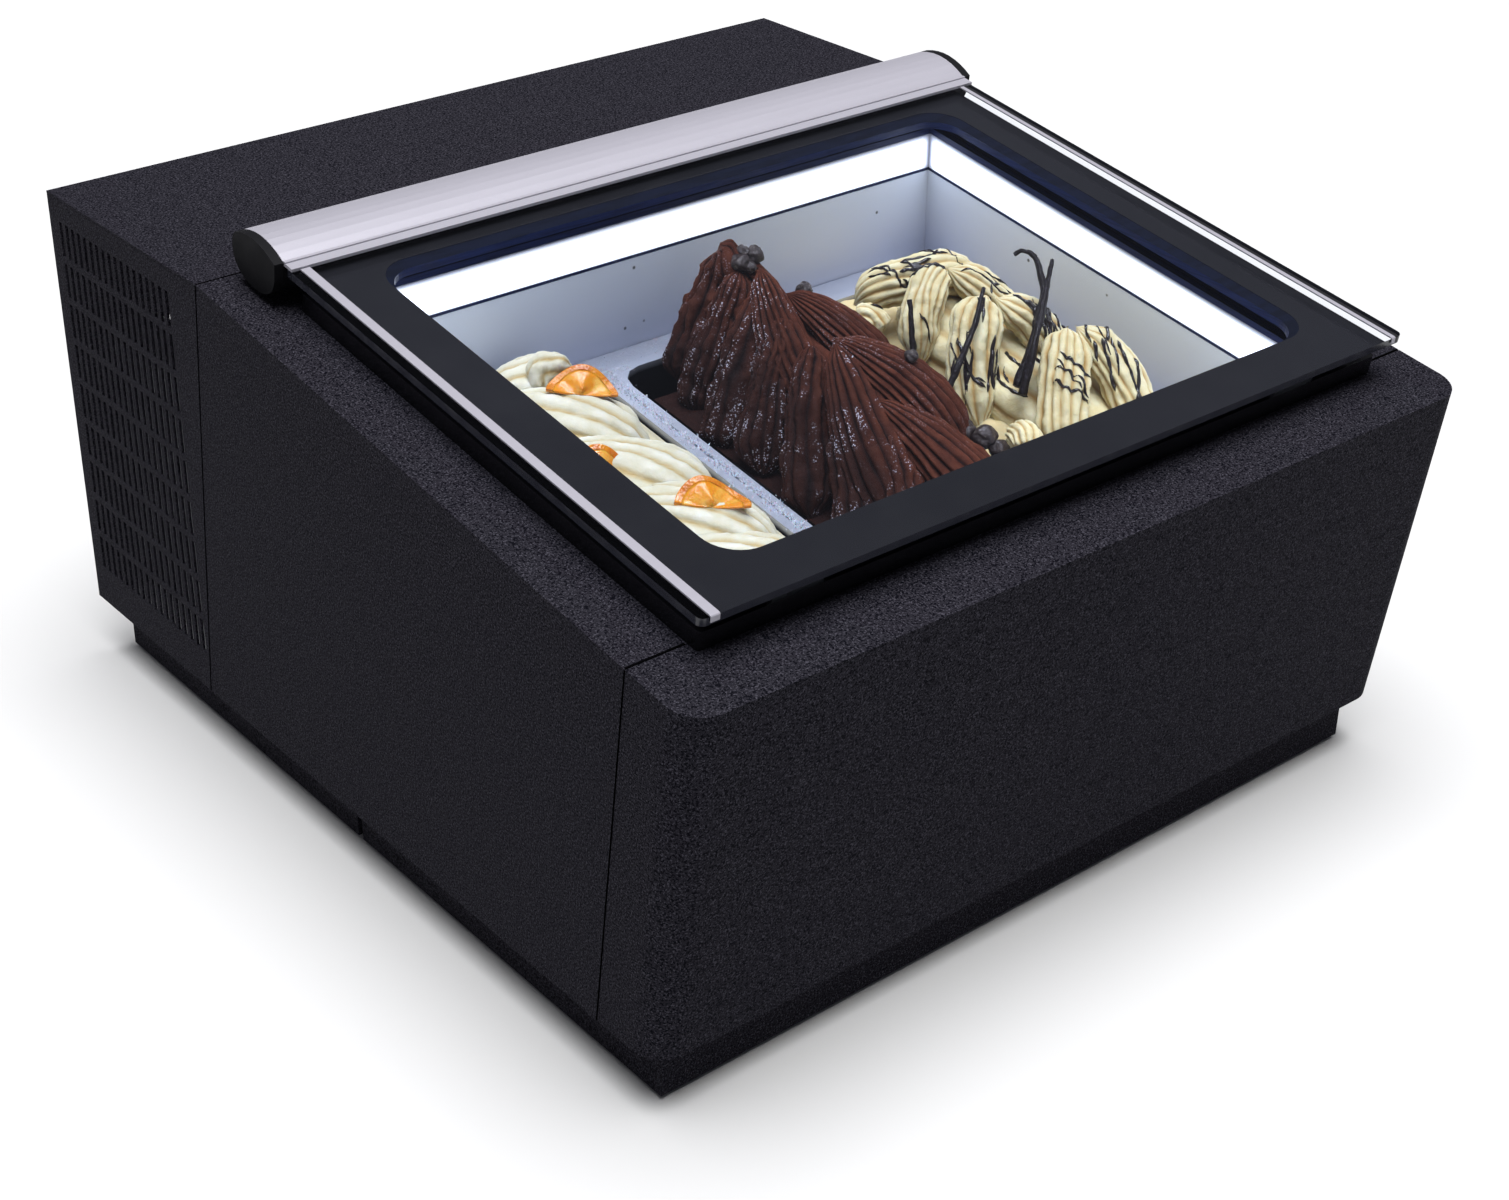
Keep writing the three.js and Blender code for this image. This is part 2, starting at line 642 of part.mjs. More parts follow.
function handleBar() {
  const span = [-HANDLE_HALF, HANDLE_HALF];
  const wall = 2.4;
  const hollow = new THREE.Shape();
  hollow.moveTo(HANDLE_S + wall, 35);
  hollow.quadraticCurveTo(HANDLE_S + 27, 46, HANDLE_S + 50, 35.4);
  hollow.quadraticCurveTo(HANDLE_S + 54, 32, HANDLE_S + 53.4, 24);
  hollow.bezierCurveTo(HANDLE_S + 51, 10.6, HANDLE_S + 36, 6.6, HANDLE_S + 20, 8.5);
  hollow.bezierCurveTo(HANDLE_S + 9, 10.4, HANDLE_S + 3.4, 15, HANDLE_S + wall, 26);
  const room = alongX(hollow, [-HANDLE_HALF - 1, HANDLE_HALF + 1], 7);
  const lip = wideBox(HANDLE_HALF, [HANDLE_S - 10, HANDLE_S + 1.5], [GLASS_N[1] + GAP, GLASS_N[1] + 2.6]);
  const beadN = [GLASS_N[1] + GAP, GLASS_N[1] + 3.6];
  const bead = wideBox(HANDLE_HALF, [HANDLE_S - 1.5, HANDLE_S + 1], beadN);
  const rearFace = [HANDLE_S - 20, HANDLE_S + 0.2];
  return alongX(handleOutline(), span, 7)
    .subtract(room)
    .subtract(wideBox(FAR, rearFace, [0, GLASS_N[1] + GAP]))
    .add(lip)
    .add(bead);
}

function handleCap(side) {
  const near = HANDLE_HALF + GAP;
  const span = side < 0 ? [-near - 7, -near] : [near, near + 7];
  return alongX(handleOutline(), span, 8).subtract(
    wideBox(FAR, [HANDLE_S - 20, HANDLE_S + 0.2], [0, 60]),
  );
}

function sideTrim(side) {
  const x = side * 305;
  const s = [GLASS_S[0] + 1, HANDLE_S - 10.5];
  return box([x - 3.5, x + 3.5], s, [GLASS_N[1] + GAP, GLASS_N[1] + 1.3]);
}

function addHinge(name, side) {
  const x = side * HINGE.x;
  const centre = [x, HINGE.s, HINGE.n];
  const bore = cylinder(HINGE.bore, 60, "x", centre, 12);
  const barrel = cylinder(HINGE.barrel, 40, "x", centre, 16);
  const middle = box([x - 8.5, x + 8.5], [0, 100], [0, 40]);
  const plate = box([x - 20, x + 20], [HINGE.s - 2, 71], [COLLAR_TOP + GAP, COLLAR_TOP + 1.6]);
  const notch = box([x - 8.5, x + 8.5], [0, 67], [0, 40]);
  const fixed = barrel.subtract(middle).add(plate.subtract(notch));
  place(deck, "hinge_base_" + name, fixed.subtract(bore), "steel");
  const inner = box([x - 8, x + 8], [0, 100], [0, 40]);
  const arm = box([x - 8, x + 8], [HINGE.s - 2, HINGE.s + 2], [HINGE.n, FRAME_N[1] - GAP]);
  const pad = box([x - 20, x + 20], [HINGE.s - 2, 71], [HINGE.n + 5.5, FRAME_N[1] - GAP]);
  place(deck, "hinge_leaf_" + name, barrel.intersect(inner).add(arm).add(pad).subtract(bore), "steel");
  place(deck, "hinge_pin_" + name, cylinder(HINGE.pin, 41, "x", centre, 12), "steel");
}

function addLid() {
  place(freezer, "well_collar", wellCollar(), "blackPlastic");
  const glass = roundedBox([-GLASS_HALF, GLASS_HALF], GLASS_S, GLASS_N, 5);
  place(deck, "lid_glass", glass, "glass");
  place(deck, "lid_frame", lidFrame(), "blackPlastic");
  place(deck, "lid_lower_pane", lowerPane(), "glass");
  place(deck, "lid_gasket", lidGasket(), "rubber");
  place(deck, "lid_trim_left", sideTrim(-1), "aluminium");
  place(deck, "lid_trim_right", sideTrim(1), "aluminium");
  place(deck, "lid_handle", handleBar(), "aluminium");
  place(deck, "handle_cap_left", handleCap(-1), "blackPlastic");
  place(deck, "handle_cap_right", handleCap(1), "blackPlastic");
  addHinge("left", -1);
  addHinge("right", 1);
}

// ---------------------------------------------------------------- refrigeration machinery
const TRAY_FLOOR = FOOT_HEIGHT + SHEET + GAP;
const FAN = { x: -262, y: 271, z: 160, radius: 80 };
const COMPRESSOR = { x: 70, y: 268, z: TRAY_FLOOR + 3 + GAP, height: 156, radius: 65 };
const CONDENSER = { x: [-328, -296], y: [182, 362], z: [TRAY_FLOOR, 290] };

function lathe(profile, [x, y, z], segments = 24) {
  const points = profile.map(([r, h]) => new THREE.Vector2(r, h));
  return new THREE.LatheGeometry(points, segments).rotateX(Math.PI / 2).translate(x, y, z);
}

function compressor() {
  const profile = [[0, 0], [52, 0], [62, 14], [65, 40], [65, 100], [58, 132], [36, 150], [0, 156]];
  return lathe(profile, [COMPRESSOR.x, COMPRESSOR.y, COMPRESSOR.z]);
}

// Flat fins across a block, seen from above as a comb.
function condenser() {
  const fins = 20;
  const [x0, x1] = CONDENSER.x;
  const [y0, y1] = CONDENSER.y;
  const spine = x0 + 6;
  const fin = 3;
  const pitch = (y1 - y0 - fin) / fins;
  const shape = new THREE.Shape();
  shape.moveTo(x0, y0);
  shape.lineTo(x1, y0);
  for (let i = 0; i < fins; i += 1) {
    const slotStart = y0 + i * pitch + fin;
    const slotEnd = y0 + (i + 1) * pitch;
    shape.lineTo(x1, slotStart);
    shape.lineTo(spine, slotStart);
    shape.lineTo(spine, slotEnd);
    shape.lineTo(x1, slotEnd);
  }
  shape.lineTo(x1, y1);
  shape.lineTo(x0, y1);
  return prism(shape, CONDENSER.z);
}

function fanShroud() {
  const x0 = CONDENSER.x[1] + 2;
  const y = [CONDENSER.y[0] - 2, CONDENSER.y[1] + 2];
  const plate = box([x0, x0 + 8], y, [TRAY_FLOOR, CONDENSER.z[1]]);
  return plate.subtract(cylinder(FAN.radius + 6, 40, "x", [x0, FAN.y, FAN.z], 32));
}

function fanBlade() {
  let blade = cylinder(20, 24, "x", [FAN.x, FAN.y, FAN.z], 20);
  const blades = 5;
  const root = 16;
  const length = FAN.radius - root;
  for (let i = 0; i < blades; i += 1) {
    const pitched = new THREE.BoxGeometry(3, 40, length)
      .rotateZ(0.42)
      .translate(0, 0, length / 2 + root)
      .rotateX((i * 2 * Math.PI) / blades)
      .translate(FAN.x, FAN.y, FAN.z);
    blade = blade.add(solid(pitched));
  }
  return blade;
}

// The motor behind the fan, on a post that stands in the tray.
function fanMotor() {
  const front = FAN.x + 12 + GAP;
  const length = 54;
  const barrel = cylinder(32, length, "x", [front + length / 2, FAN.y, FAN.z], 24);
  const post = box([front + 12, front + 42], [FAN.y - 9, FAN.y + 9], [TRAY_FLOOR, FAN.z]);
  return barrel.add(post);
}

function addMachinery() {
  const { x, y, z, height, radius } = COMPRESSOR;
  const plate = box([x - 95, x + 95], [y - 70, y + 70], [TRAY_FLOOR, TRAY_FLOOR + 3]);
  place(freezer, "compressor_mounting_plate", plate, "galvanised");
  place(freezer, "compressor", compressor(), "blackPlastic");
  const terminalX = x + radius + GAP;
  const terminalBox = box([terminalX, terminalX + 32], [y - 28, y + 28], [z + 44, z + 98]);
  place(freezer, "compressor_terminal_box", terminalBox, "blackPlastic");
  place(freezer, "condenser", condenser(), "galvanised");
  place(freezer, "fan_shroud", fanShroud(), "galvanised");
  place(freezer, "fan_blade", fanBlade(), "blackPlastic");
  place(freezer, "fan_motor", fanMotor(), "galvanised");
  const drierProfile = [[0, 0], [4, 0], [11, 12], [11, 92], [4, 104], [0, 104]];
  place(freezer, "filter_drier", lathe(drierProfile, [210, 200, TRAY_FLOOR], 16), "copper");
  const high = 330;
  const coilX = (CONDENSER.x[0] + CONDENSER.x[1]) / 2;
  const dischargeRun = [
    [x, y, z + height + GAP],
    [x, y, high],
    [coilX, y, high],
    [coilX, y, CONDENSER.z[1] + GAP],
  ];
  place(freezer, "discharge_pipe", tube(dischargeRun, 3.2, 16, BACK), "copper");
  const port = z + 80;
  const suctionRun = [
    [x - radius - GAP, y, port],
    [x - radius - 45, y, port],
    [x - radius - 45, FOAM_REAR + GAP, port],
  ];
  place(freezer, "suction_pipe", tube(suctionRun, 4, 12, UP), "copper");
}

// ---------------------------------------------------------------- controls on the back
const BUTTON_TRAVEL = 1;
const ROCKER_TILT = THREE.MathUtils.degToRad(6); // either side of the middle

function addControls() {
  const face = BACK_Y + 1.5;
  const { x, z } = CONTROL;
  const buttons = ["power_button", "colder_button", "warmer_button"];
  const buttonX = (i) => x[0] + 62 + i * 17;
  const middleZ = (z[0] + z[1]) / 2;
  let module = box(x, [BACK_Y - 46, face], z);
  buttons.forEach((_, i) => {
    const pocketX = [buttonX(i) - 6, buttonX(i) + 6];
    module = module.subtract(box(pocketX, [face - 6, face + 1], [middleZ - 5, middleZ + 5]));
  });
  const display = box([x[0] + 8, x[0] + 46], [face - 1, face + 1], [middleZ - 11, middleZ + 11]);
  place(freezer, "thermostat_module", module.subtract(display), "blackPlastic");
  buttons.forEach((name, i) => {
    const cap = box(
      [buttonX(i) - 5.6, buttonX(i) + 5.6],
      [face - 6 + BUTTON_TRAVEL + 0.5, face + 1.2],
      [middleZ - 4.6, middleZ + 4.6],
    );
    place(freezer, name, cap, "rubber");
  });
  const inset = ([low, high], by) => [low + by, high - by];
  const socket = box(INLET.x, [BACK_Y - 28, face], INLET.z);
  const mouth = box(inset(INLET.x, 14), [BACK_Y - 18, face + 1], inset(INLET.z, 7));
  place(freezer, "mains_inlet", socket.subtract(mouth), "blackPlastic");
  const housing = box(SWITCH.x, [BACK_Y - 24, face], SWITCH.z);
  const well = box(inset(SWITCH.x, 3), [BACK_Y - 16, face + 1], inset(SWITCH.z, 3));
  place(freezer, "mains_switch_housing", housing.subtract(well), "blackPlastic");
  // The rocker turns about the middle of its back edge and rests tilted to its off side.
  const rocker = new THREE.Shape();
  rocker.moveTo(0, -7);
  rocker.lineTo(11.6, -7.6);
  rocker.lineTo(9, 0);
  rocker.lineTo(11.6, 7.6);
  rocker.lineTo(0, 7);
  const bar = geometryOf(alongX(rocker, inset(SWITCH.x, 3.6), 2));
  const tilted = bar.rotateX(-ROCKER_TILT).translate(0, BACK_Y - 8, (SWITCH.z[0] + SWITCH.z[1]) / 2);
  place(freezer, "mains_rocker", tilted, "blackPlastic");
}

addBase();
addPanels();
addWell();
addLights();
addLid();
addMachinery();
addControls();

export default freezer;
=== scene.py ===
# Countertop ice cream display freezer: looks, ice cream, stage, light and camera around the CAD frame.
import math

import bmesh
import bpy
import numpy as np
from mathutils import Matrix, Vector, noise
from mathutils.bvhtree import BVHTree

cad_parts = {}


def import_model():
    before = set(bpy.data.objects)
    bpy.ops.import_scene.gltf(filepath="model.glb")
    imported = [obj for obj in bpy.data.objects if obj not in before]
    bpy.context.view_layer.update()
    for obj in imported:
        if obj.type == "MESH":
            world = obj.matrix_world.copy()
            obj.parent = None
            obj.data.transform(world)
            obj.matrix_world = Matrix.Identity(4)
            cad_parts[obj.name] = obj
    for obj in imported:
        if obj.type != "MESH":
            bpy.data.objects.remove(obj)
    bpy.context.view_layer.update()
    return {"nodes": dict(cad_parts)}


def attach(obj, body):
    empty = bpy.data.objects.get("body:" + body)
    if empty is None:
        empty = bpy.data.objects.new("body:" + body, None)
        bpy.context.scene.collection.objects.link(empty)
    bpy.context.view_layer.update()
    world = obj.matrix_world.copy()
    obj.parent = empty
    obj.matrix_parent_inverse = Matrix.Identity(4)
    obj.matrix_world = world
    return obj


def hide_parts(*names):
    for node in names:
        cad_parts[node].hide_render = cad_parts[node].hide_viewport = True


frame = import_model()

NODES = frame["nodes"]
MM = 0.001
SLOPE = math.radians(8.7)
FRONT_Y, DECK_Z = -0.385, 0.313064  # the deck's front edge
DECK = Matrix.Translation((0, FRONT_Y, DECK_Z)) @ Matrix.Rotation(SLOPE, 4, "X")
PAN_RIM = -88.9  # pan rims, in mm off the deck


def deck(x, s, n):
    """A point given in millimetres on the deck: across, up the slope, and off the surface."""
    return DECK @ Vector((x * MM, s * MM, n * MM))


# ---------------------------------------------------------------- materials
class Shader:
    """A Principled material with short ways to add procedural detail."""

    def __init__(self, name, color, roughness, metallic=0.0, **inputs):
        self.material = bpy.data.materials.new(name)
        self.material.use_nodes = True
        self.tree = self.material.node_tree
        self.bsdf = self.tree.nodes["Principled BSDF"]
        self.bsdf.inputs["Base Color"].default_value = (*color, 1)
        self.bsdf.inputs["Roughness"].default_value = roughness
        self.bsdf.inputs["Metallic"].default_value = metallic
        for key, value in inputs.items():
            self.bsdf.inputs[key.replace("_", " ")].default_value = value
        self.coords = self.node("ShaderNodeTexCoord").outputs["Object"]
        self.normal = None

    def node(self, kind, **values):
        made = self.tree.nodes.new(kind)
        for key, value in values.items():
            if hasattr(made, key):
                setattr(made, key, value)
            else:
                made.inputs[key.replace("_", " ")].default_value = value
        return made

    def link(self, source, target):
        self.tree.links.new(source, target)

    def noise(self, scale, detail=3.0, stretch=(1, 1, 1), rough=0.5):
        mapping = self.node("ShaderNodeMapping")
        mapping.inputs["Scale"].default_value = stretch
        self.link(self.coords, mapping.inputs["Vector"])
        made = self.node("ShaderNodeTexNoise", Scale=scale, Detail=detail, Roughness=rough)
        self.link(mapping.outputs["Vector"], made.inputs["Vector"])
        return made.outputs["Fac"]

    def cells(self, scale):
        made = self.node("ShaderNodeTexVoronoi", Scale=scale)
        self.link(self.coords, made.inputs["Vector"])
        return made.outputs["Distance"]

    def remap(self, value, low, high, to_low=0.0, to_high=1.0):
        made = self.node("ShaderNodeMapRange")
        made.inputs["From Min"].default_value = low
        made.inputs["From Max"].default_value = high
        made.inputs["To Min"].default_value = to_low
        made.inputs["To Max"].default_value = to_high
        self.link(value, made.inputs["Value"])
        return made.outputs["Result"]

    def times(self, a, b):
        made = self.node("ShaderNodeMath", operation="MULTIPLY")
        self.link(a, made.inputs[0])
        if isinstance(b, (int, float)):
            made.inputs[1].default_value = b
        else:
            self.link(b, made.inputs[1])
        return made.outputs[0]

    def off_deck(self):
        """Height off the deck in metres, in the lid's resting frame."""
        along = self.node("ShaderNodeVectorMath", operation="DOT_PRODUCT")
        self.link(self.coords, along.inputs[0])
        along.inputs[1].default_value = (0, -math.sin(SLOPE), math.cos(SLOPE))
        lift = self.node("ShaderNodeMath", operation="SUBTRACT")
        self.link(along.outputs["Value"], lift.inputs[0])
        lift.inputs[1].default_value = DECK_Z * math.cos(SLOPE) - FRONT_Y * math.sin(SLOPE)
        return lift.outputs[0]

    def across(self):
        """Distance right of the middle in metres."""
        place = self.node("ShaderNodeSeparateXYZ")
        self.link(self.coords, place.inputs[0])
        return place.outputs["X"]

    def corner(self):
        """Falls from 1 to nearly 0 in the last few millimetres before a corner of the well."""
        place = self.node("ShaderNodeSeparateXYZ")
        self.link(self.coords, place.inputs[0])
        near = []
        for axis, middle, half in (("X", 0.0, 0.262), ("Y", -0.115, 0.190)):
            shift = self.node("ShaderNodeMath", operation="SUBTRACT")
            self.link(place.outputs[axis], shift.inputs[0])
            shift.inputs[1].default_value = middle
            size = self.node("ShaderNodeMath", operation="ABSOLUTE")
            self.link(shift.outputs[0], size.inputs[0])
            near.append(self.remap(size.outputs[0], half - 0.008, half - 0.001))
        return self.remap(self.times(*near), 0.0, 1.0, 1.0, 0.05)

    def attribute(self, name):
        made = self.node("ShaderNodeAttribute", attribute_name=name)
        return made.outputs["Fac"]

    def edges(self, radius=0.0015):
        """Near 1 where the surface turns within a radius: a bevelled normal compared with the plain one."""
        bevel = self.node("ShaderNodeBevel", samples=4, Radius=radius)
        plain = self.node("ShaderNodeNewGeometry")
        dot = self.node("ShaderNodeVectorMath", operation="DOT_PRODUCT")
        self.link(bevel.outputs["Normal"], dot.inputs[0])
        self.link(plain.outputs["Normal"], dot.inputs[1])
        return self.remap(dot.outputs["Value"], 0.99, 0.85)

    def tint(self, mask, color):
        """Blends the base colour towards another one by a mask."""
        mix = self.node("ShaderNodeMix", data_type="RGBA")
        target = self.bsdf.inputs["Base Color"]
        first, second = (s for s in mix.inputs if s.type == "RGBA")
        if target.is_linked:
            self.link(target.links[0].from_socket, first)
        else:
            first.default_value = target.default_value
        second.default_value = (*color, 1)
        self.link(mask, mix.inputs["Factor"])
        self.link(next(s for s in mix.outputs if s.type == "RGBA"), target)

    def rough(self, mask, low, high):
        self.link(self.remap(mask, 0.3, 0.7, low, high), self.bsdf.inputs["Roughness"])

    def rougher(self, mask, value):
        """Blends the roughness towards a value by a mask."""
        target = self.bsdf.inputs["Roughness"]
        mix = self.node("ShaderNodeMix", data_type="FLOAT")
        if target.is_linked:
            self.link(target.links[0].from_socket, mix.inputs[2])
        else:
            mix.inputs[2].default_value = target.default_value
        mix.inputs[3].default_value = value
        self.link(mask, mix.inputs[0])
        self.link(mix.outputs[0], target)

    def bump(self, height, strength, distance):
        made = self.node("ShaderNodeBump", Strength=strength, Distance=distance)
        self.link(height, made.inputs["Height"])
        if self.normal is not None:
            self.link(self.normal, made.inputs["Normal"])
        self.normal = made.outputs["Normal"]
        self.link(self.normal, self.bsdf.inputs["Normal"])


def powder_coat():
    """Charcoal paint baked to a fine pebbled texture, with darker grains and lighter grains that are partly
    painted glints.
    """
    m = Shader("powder_coat", (0.0142, 0.0135, 0.0180), 0.7, Specular_IOR_Level=0.012)
    grain = m.noise(780, 1.5, rough=0.8)
    m.bump(grain, 0.5, 0.0008)
    m.bump(m.cells(900), 0.25, 0.0004)
    m.rough(m.noise(140, 3), 0.54, 0.66)
    # lighter grains: part grain tone, part painted glints on the pebbled paint
    m.tint(m.remap(grain, 0.54, 0.63), (0.046, 0.044, 0.056))
    m.tint(m.remap(m.noise(700, 1.5), 0.49, 0.40), (0.003, 0.003, 0.005))
    return m.material


def stainless(name, color, roughness, stretch, scale=60, spots=0.0, metal=0.9, painted_shade_below_rims=False):
    """Brushed steel. Spotted walls get painted light that brightens them towards the lights, and pans with
    painted shade darken below the rims.
    """
    m = Shader(name, color, roughness, metal)
    brushed = m.noise(scale, 5, stretch, 0.65)
    m.rough(brushed, roughness - 0.06, roughness + 0.1)
    m.bump(brushed, 0.12, 0.0002)
    m.bump(m.noise(9, 2), 0.25, 0.0015)
    m.tint(m.remap(m.noise(14, 4), 0.45, 0.75, 0, 0.35), tuple(c * 0.82 for c in color))
    if spots:
        # painted light: the walls brighten towards the light strips
        m.tint(m.remap(m.off_deck(), -0.080, -0.024), tuple(min(c * 1.75, 0.95) for c in color))
        speck = m.times(m.remap(m.cells(34), 0.06, 0.03), m.remap(m.noise(11, 2), 0.46, 0.5))
        m.tint(m.times(speck, spots), (0.03, 0.028, 0.035))
    if painted_shade_below_rims:
        # painted shade inside the pans below the rims
        m.tint(m.remap(m.off_deck(), -0.0900, -0.0945), (0.016, 0.016, 0.021))
    return m.material


def plastic(name, color, roughness, grain=700, wear_and_edge_highlight=0.3, shine=0.5):
    m = Shader(name, color, roughness, Specular_IOR_Level=shine)
    m.rough(m.noise(60, 4), max(roughness - 0.05, 0.03), roughness + 0.08)
    m.bump(m.noise(grain, 3), 0.12, 0.0002)
    # lighter edges: part wear, part painted edge highlight
    m.tint(m.times(m.edges(0.0012), wear_and_edge_highlight), tuple(min(c * 3 + 0.03, 1) for c in color))
    return m.material


def satin_aluminium(name, shaded=False):
    """Brushed and clear-coated. The shaded one has painted shade that turns the outer half of the right strip
    black.
    """
    m = Shader(name, (0.33, 0.32, 0.365), 0.42, 0.3)
    lines = m.noise(18, 6, (1, 60, 60), 0.7)
    m.rough(lines, 0.38, 0.5)
    m.bump(lines, 0.1, 0.0002)
    m.bump(m.noise(1100, 3), 0.16, 0.0002)
    m.tint(m.remap(m.noise(1400, 2), 0.6, 0.72, 0, 0.4), (0.29, 0.28, 0.34))
    if shaded:
        # painted shade: the outer half of the right strip turns black
        m.tint(m.remap(m.across(), 0.3050, 0.3054), (0.006, 0.006, 0.008))
    return m.material


def clear_glass():
    """Thin clear glass: it doesn't bend what is seen through it and mirrors a little at low angles."""
    m = Shader("clear_glass", (0.9, 0.93, 1.0), 0.03, 1.0)
    m.rough(m.noise(24, 4), 0.01, 0.05)
    clear = m.node("ShaderNodeBsdfTransparent")
    clear.inputs["Color"].default_value = (0.97, 0.98, 1.0, 1)
    mirror = m.node("ShaderNodeFresnel", IOR=1.22)
    outside = m.node("ShaderNodeMath", operation="SUBTRACT")
    outside.inputs[0].default_value = 1.0
    m.link(m.node("ShaderNodeNewGeometry").outputs["Backfacing"], outside.inputs[1])
    mix = m.node("ShaderNodeMixShader")
    m.link(m.times(mirror.outputs[0], outside.outputs[0]), mix.inputs["Fac"])
    m.link(clear.outputs["BSDF"], mix.inputs[1])
    m.link(m.bsdf.outputs["BSDF"], mix.inputs[2])
    m.link(mix.outputs[0], m.tree.nodes["Material Output"].inputs["Surface"])
    return m.material


def black_print():
    """The black border fired onto the underside of the glass."""
    m = Shader("black_print", (0.0080, 0.0080, 0.0098), 0.2)
    m.rough(m.noise(30, 4), 0.16, 0.26)
    m.tint(m.remap(m.noise(3, 2), 0.4, 0.6), (0.0098, 0.0098, 0.012))
    return m.material


def glowing(strength):
    """A milky strip lit from behind, dimmer and bluer towards its two long edges."""
    m = Shader("milky_diffuser", (0.42, 0.45, 0.58), 0.4)
    m.bump(m.noise(300, 2), 0.05, 0.0002)
    m.bsdf.inputs["Emission Color"].default_value = (0.90, 0.94, 1.0, 1)
    height = m.off_deck()
    even = m.times(m.remap(height, 0.0085, 0.002), m.remap(height, -0.019, -0.0155, 0.25, 1.0))
    even = m.times(even, m.corner())
    lamps = m.remap(m.noise(26, 2), 0.3, 0.7, strength * 0.94, strength * 1.06)
    m.link(m.times(even, lamps), m.bsdf.inputs["Emission Strength"])
    return m.material


def moulding_painted_glow(name, color):
    """Black moulding seen over the light strips, with their glow painted in as a dark blue colour."""
    m = Shader(name, color, 0.35, Specular_IOR_Level=0.12)
    lines = m.noise(30, 4, (1, 1, 30))
    m.rough(lines, 0.28, 0.42)
    m.bump(lines, 0.12, 0.0004)
    m.tint(m.remap(lines, 0.45, 0.6), tuple(c * 0.6 for c in color))
    return m.material


def rough_foam():
    m = Shader("insulation_foam", (0.78, 0.70, 0.42), 0.9)
    m.bump(m.cells(260), 0.6, 0.002)
    m.rough(m.noise(50), 0.8, 0.95)
    m.tint(m.remap(m.noise(12, 4), 0.45, 0.7, 0, 0.6), (0.6, 0.5, 0.26))
    return m.material


def copper():
    m = Shader("drawn_copper", (0.70, 0.32, 0.17), 0.3, 0.95)
    m.rough(m.noise(90, 4), 0.24, 0.46)
    m.bump(m.noise(200, 3), 0.1, 0.0003)
    m.tint(m.remap(m.noise(30, 5), 0.5, 0.72, 0, 0.7), (0.2, 0.09, 0.05))
    return m.material


def galvanised():
    m = Shader("galvanised_steel", (0.48, 0.50, 0.52), 0.45, 0.8)
    m.tint(m.remap(m.cells(90), 0.1, 0.6, 0, 0.45), (0.30, 0.32, 0.34))
    m.rough(m.noise(45, 4), 0.36, 0.56)
    m.bump(m.noise(160, 3), 0.12, 0.0003)
    return m.material


def ice(name, color, shade, crest, shine, frosted=False):
    """Ice cream: soft light inside, painted shade in the grooves, painted light on the crests, frost crystals
    on the crests.

    The frosted one has painted shade on its left side.
    """
    m = Shader(name, color, 0.6, Subsurface_Weight=0.3, Subsurface_Scale=0.005, Specular_IOR_Level=shine)
    m.bsdf.inputs["Subsurface Radius"].default_value = (1.0, 0.7, 0.4)
    ridge = m.attribute("ridge")
    # painted shade in the grooves
    m.tint(m.remap(ridge, 0.62, 0.1), shade)
    # painted highlight on the crests
    m.tint(m.times(m.remap(ridge, 0.55, 1.0), m.remap(m.noise(70, 3), 0.35, 0.65)), crest)
    m.rough(m.noise(150, 4), 0.5, 0.75)
    m.bump(m.noise(300, 5, rough=0.7), 0.75, 0.0022 if frosted else 0.001)
    m.bump(m.noise(900, 2), 0.3, 0.0006)
    if frosted:
        # painted shade on the left side of the chocolate
        m.tint(m.remap(m.across(), 0.004, -0.04, 0.0, 0.8), shade)
        where = m.times(m.remap(m.noise(30, 6, rough=0.75), 0.5, 0.56), m.remap(ridge, 0.62, 0.95))
        crystals = m.remap(m.cells(620), 0.42, 0.2)
        mask = m.times(m.times(where, crystals), m.attribute("frost"))
        m.tint(mask, (0.46, 0.45, 0.52))
        m.rougher(mask, 0.8)
    return m.material


PAINT = powder_coat()
LINER = stainless("liner_steel", (0.45, 0.485, 0.61), 0.5, (1, 1, 14), 40, 0.9, 0.15)
STEEL = stainless("satin_steel", (0.42, 0.44, 0.50), 0.4, (1, 12, 1), metal=0.6, painted_shade_below_rims=True)
BLACK = plastic("black_moulding", (0.011, 0.011, 0.014), 0.3)
DARK_FRAME = plastic("lid_moulding", (0.006, 0.006, 0.008), 0.12, 300)
COLLAR = plastic("collar_moulding", (0.0035, 0.0035, 0.0045), 0.16, 300, 0.1)
CAP = plastic("handle_cap_moulding", (0.0055, 0.0055, 0.0068), 0.6, 300, 0.05, 0.08)
SHADOW = plastic("seam_shadow", (0.0012, 0.0012, 0.0014), 0.9, 300, 0.0, 0.0)
RUBBER = plastic("black_rubber", (0.012, 0.012, 0.013), 0.75, 900, 0.5)
ENAMEL = plastic("black_enamel", (0.014, 0.014, 0.016), 0.22, 200)
ALUMINIUM = satin_aluminium("satin_aluminium")
SHADED_STRIP = satin_aluminium("satin_aluminium_painted_shade", True)
GLASS = clear_glass()
PRINT = black_print()
LIGHT = glowing(2.8)
# painted glow: black moulding coloured blue for the light strips' glow, with a darker copy for the frame's
# top
GLOW_PAINTED_WALL = moulding_painted_glow("moulding_painted_glow", (0.011, 0.021, 0.085))
GLOW_PAINTED_TOP = moulding_painted_glow("moulding_painted_glow_top", (0.0042, 0.0060, 0.0150))
FOAM = rough_foam()
COPPER = copper()
ZINC = galvanised()

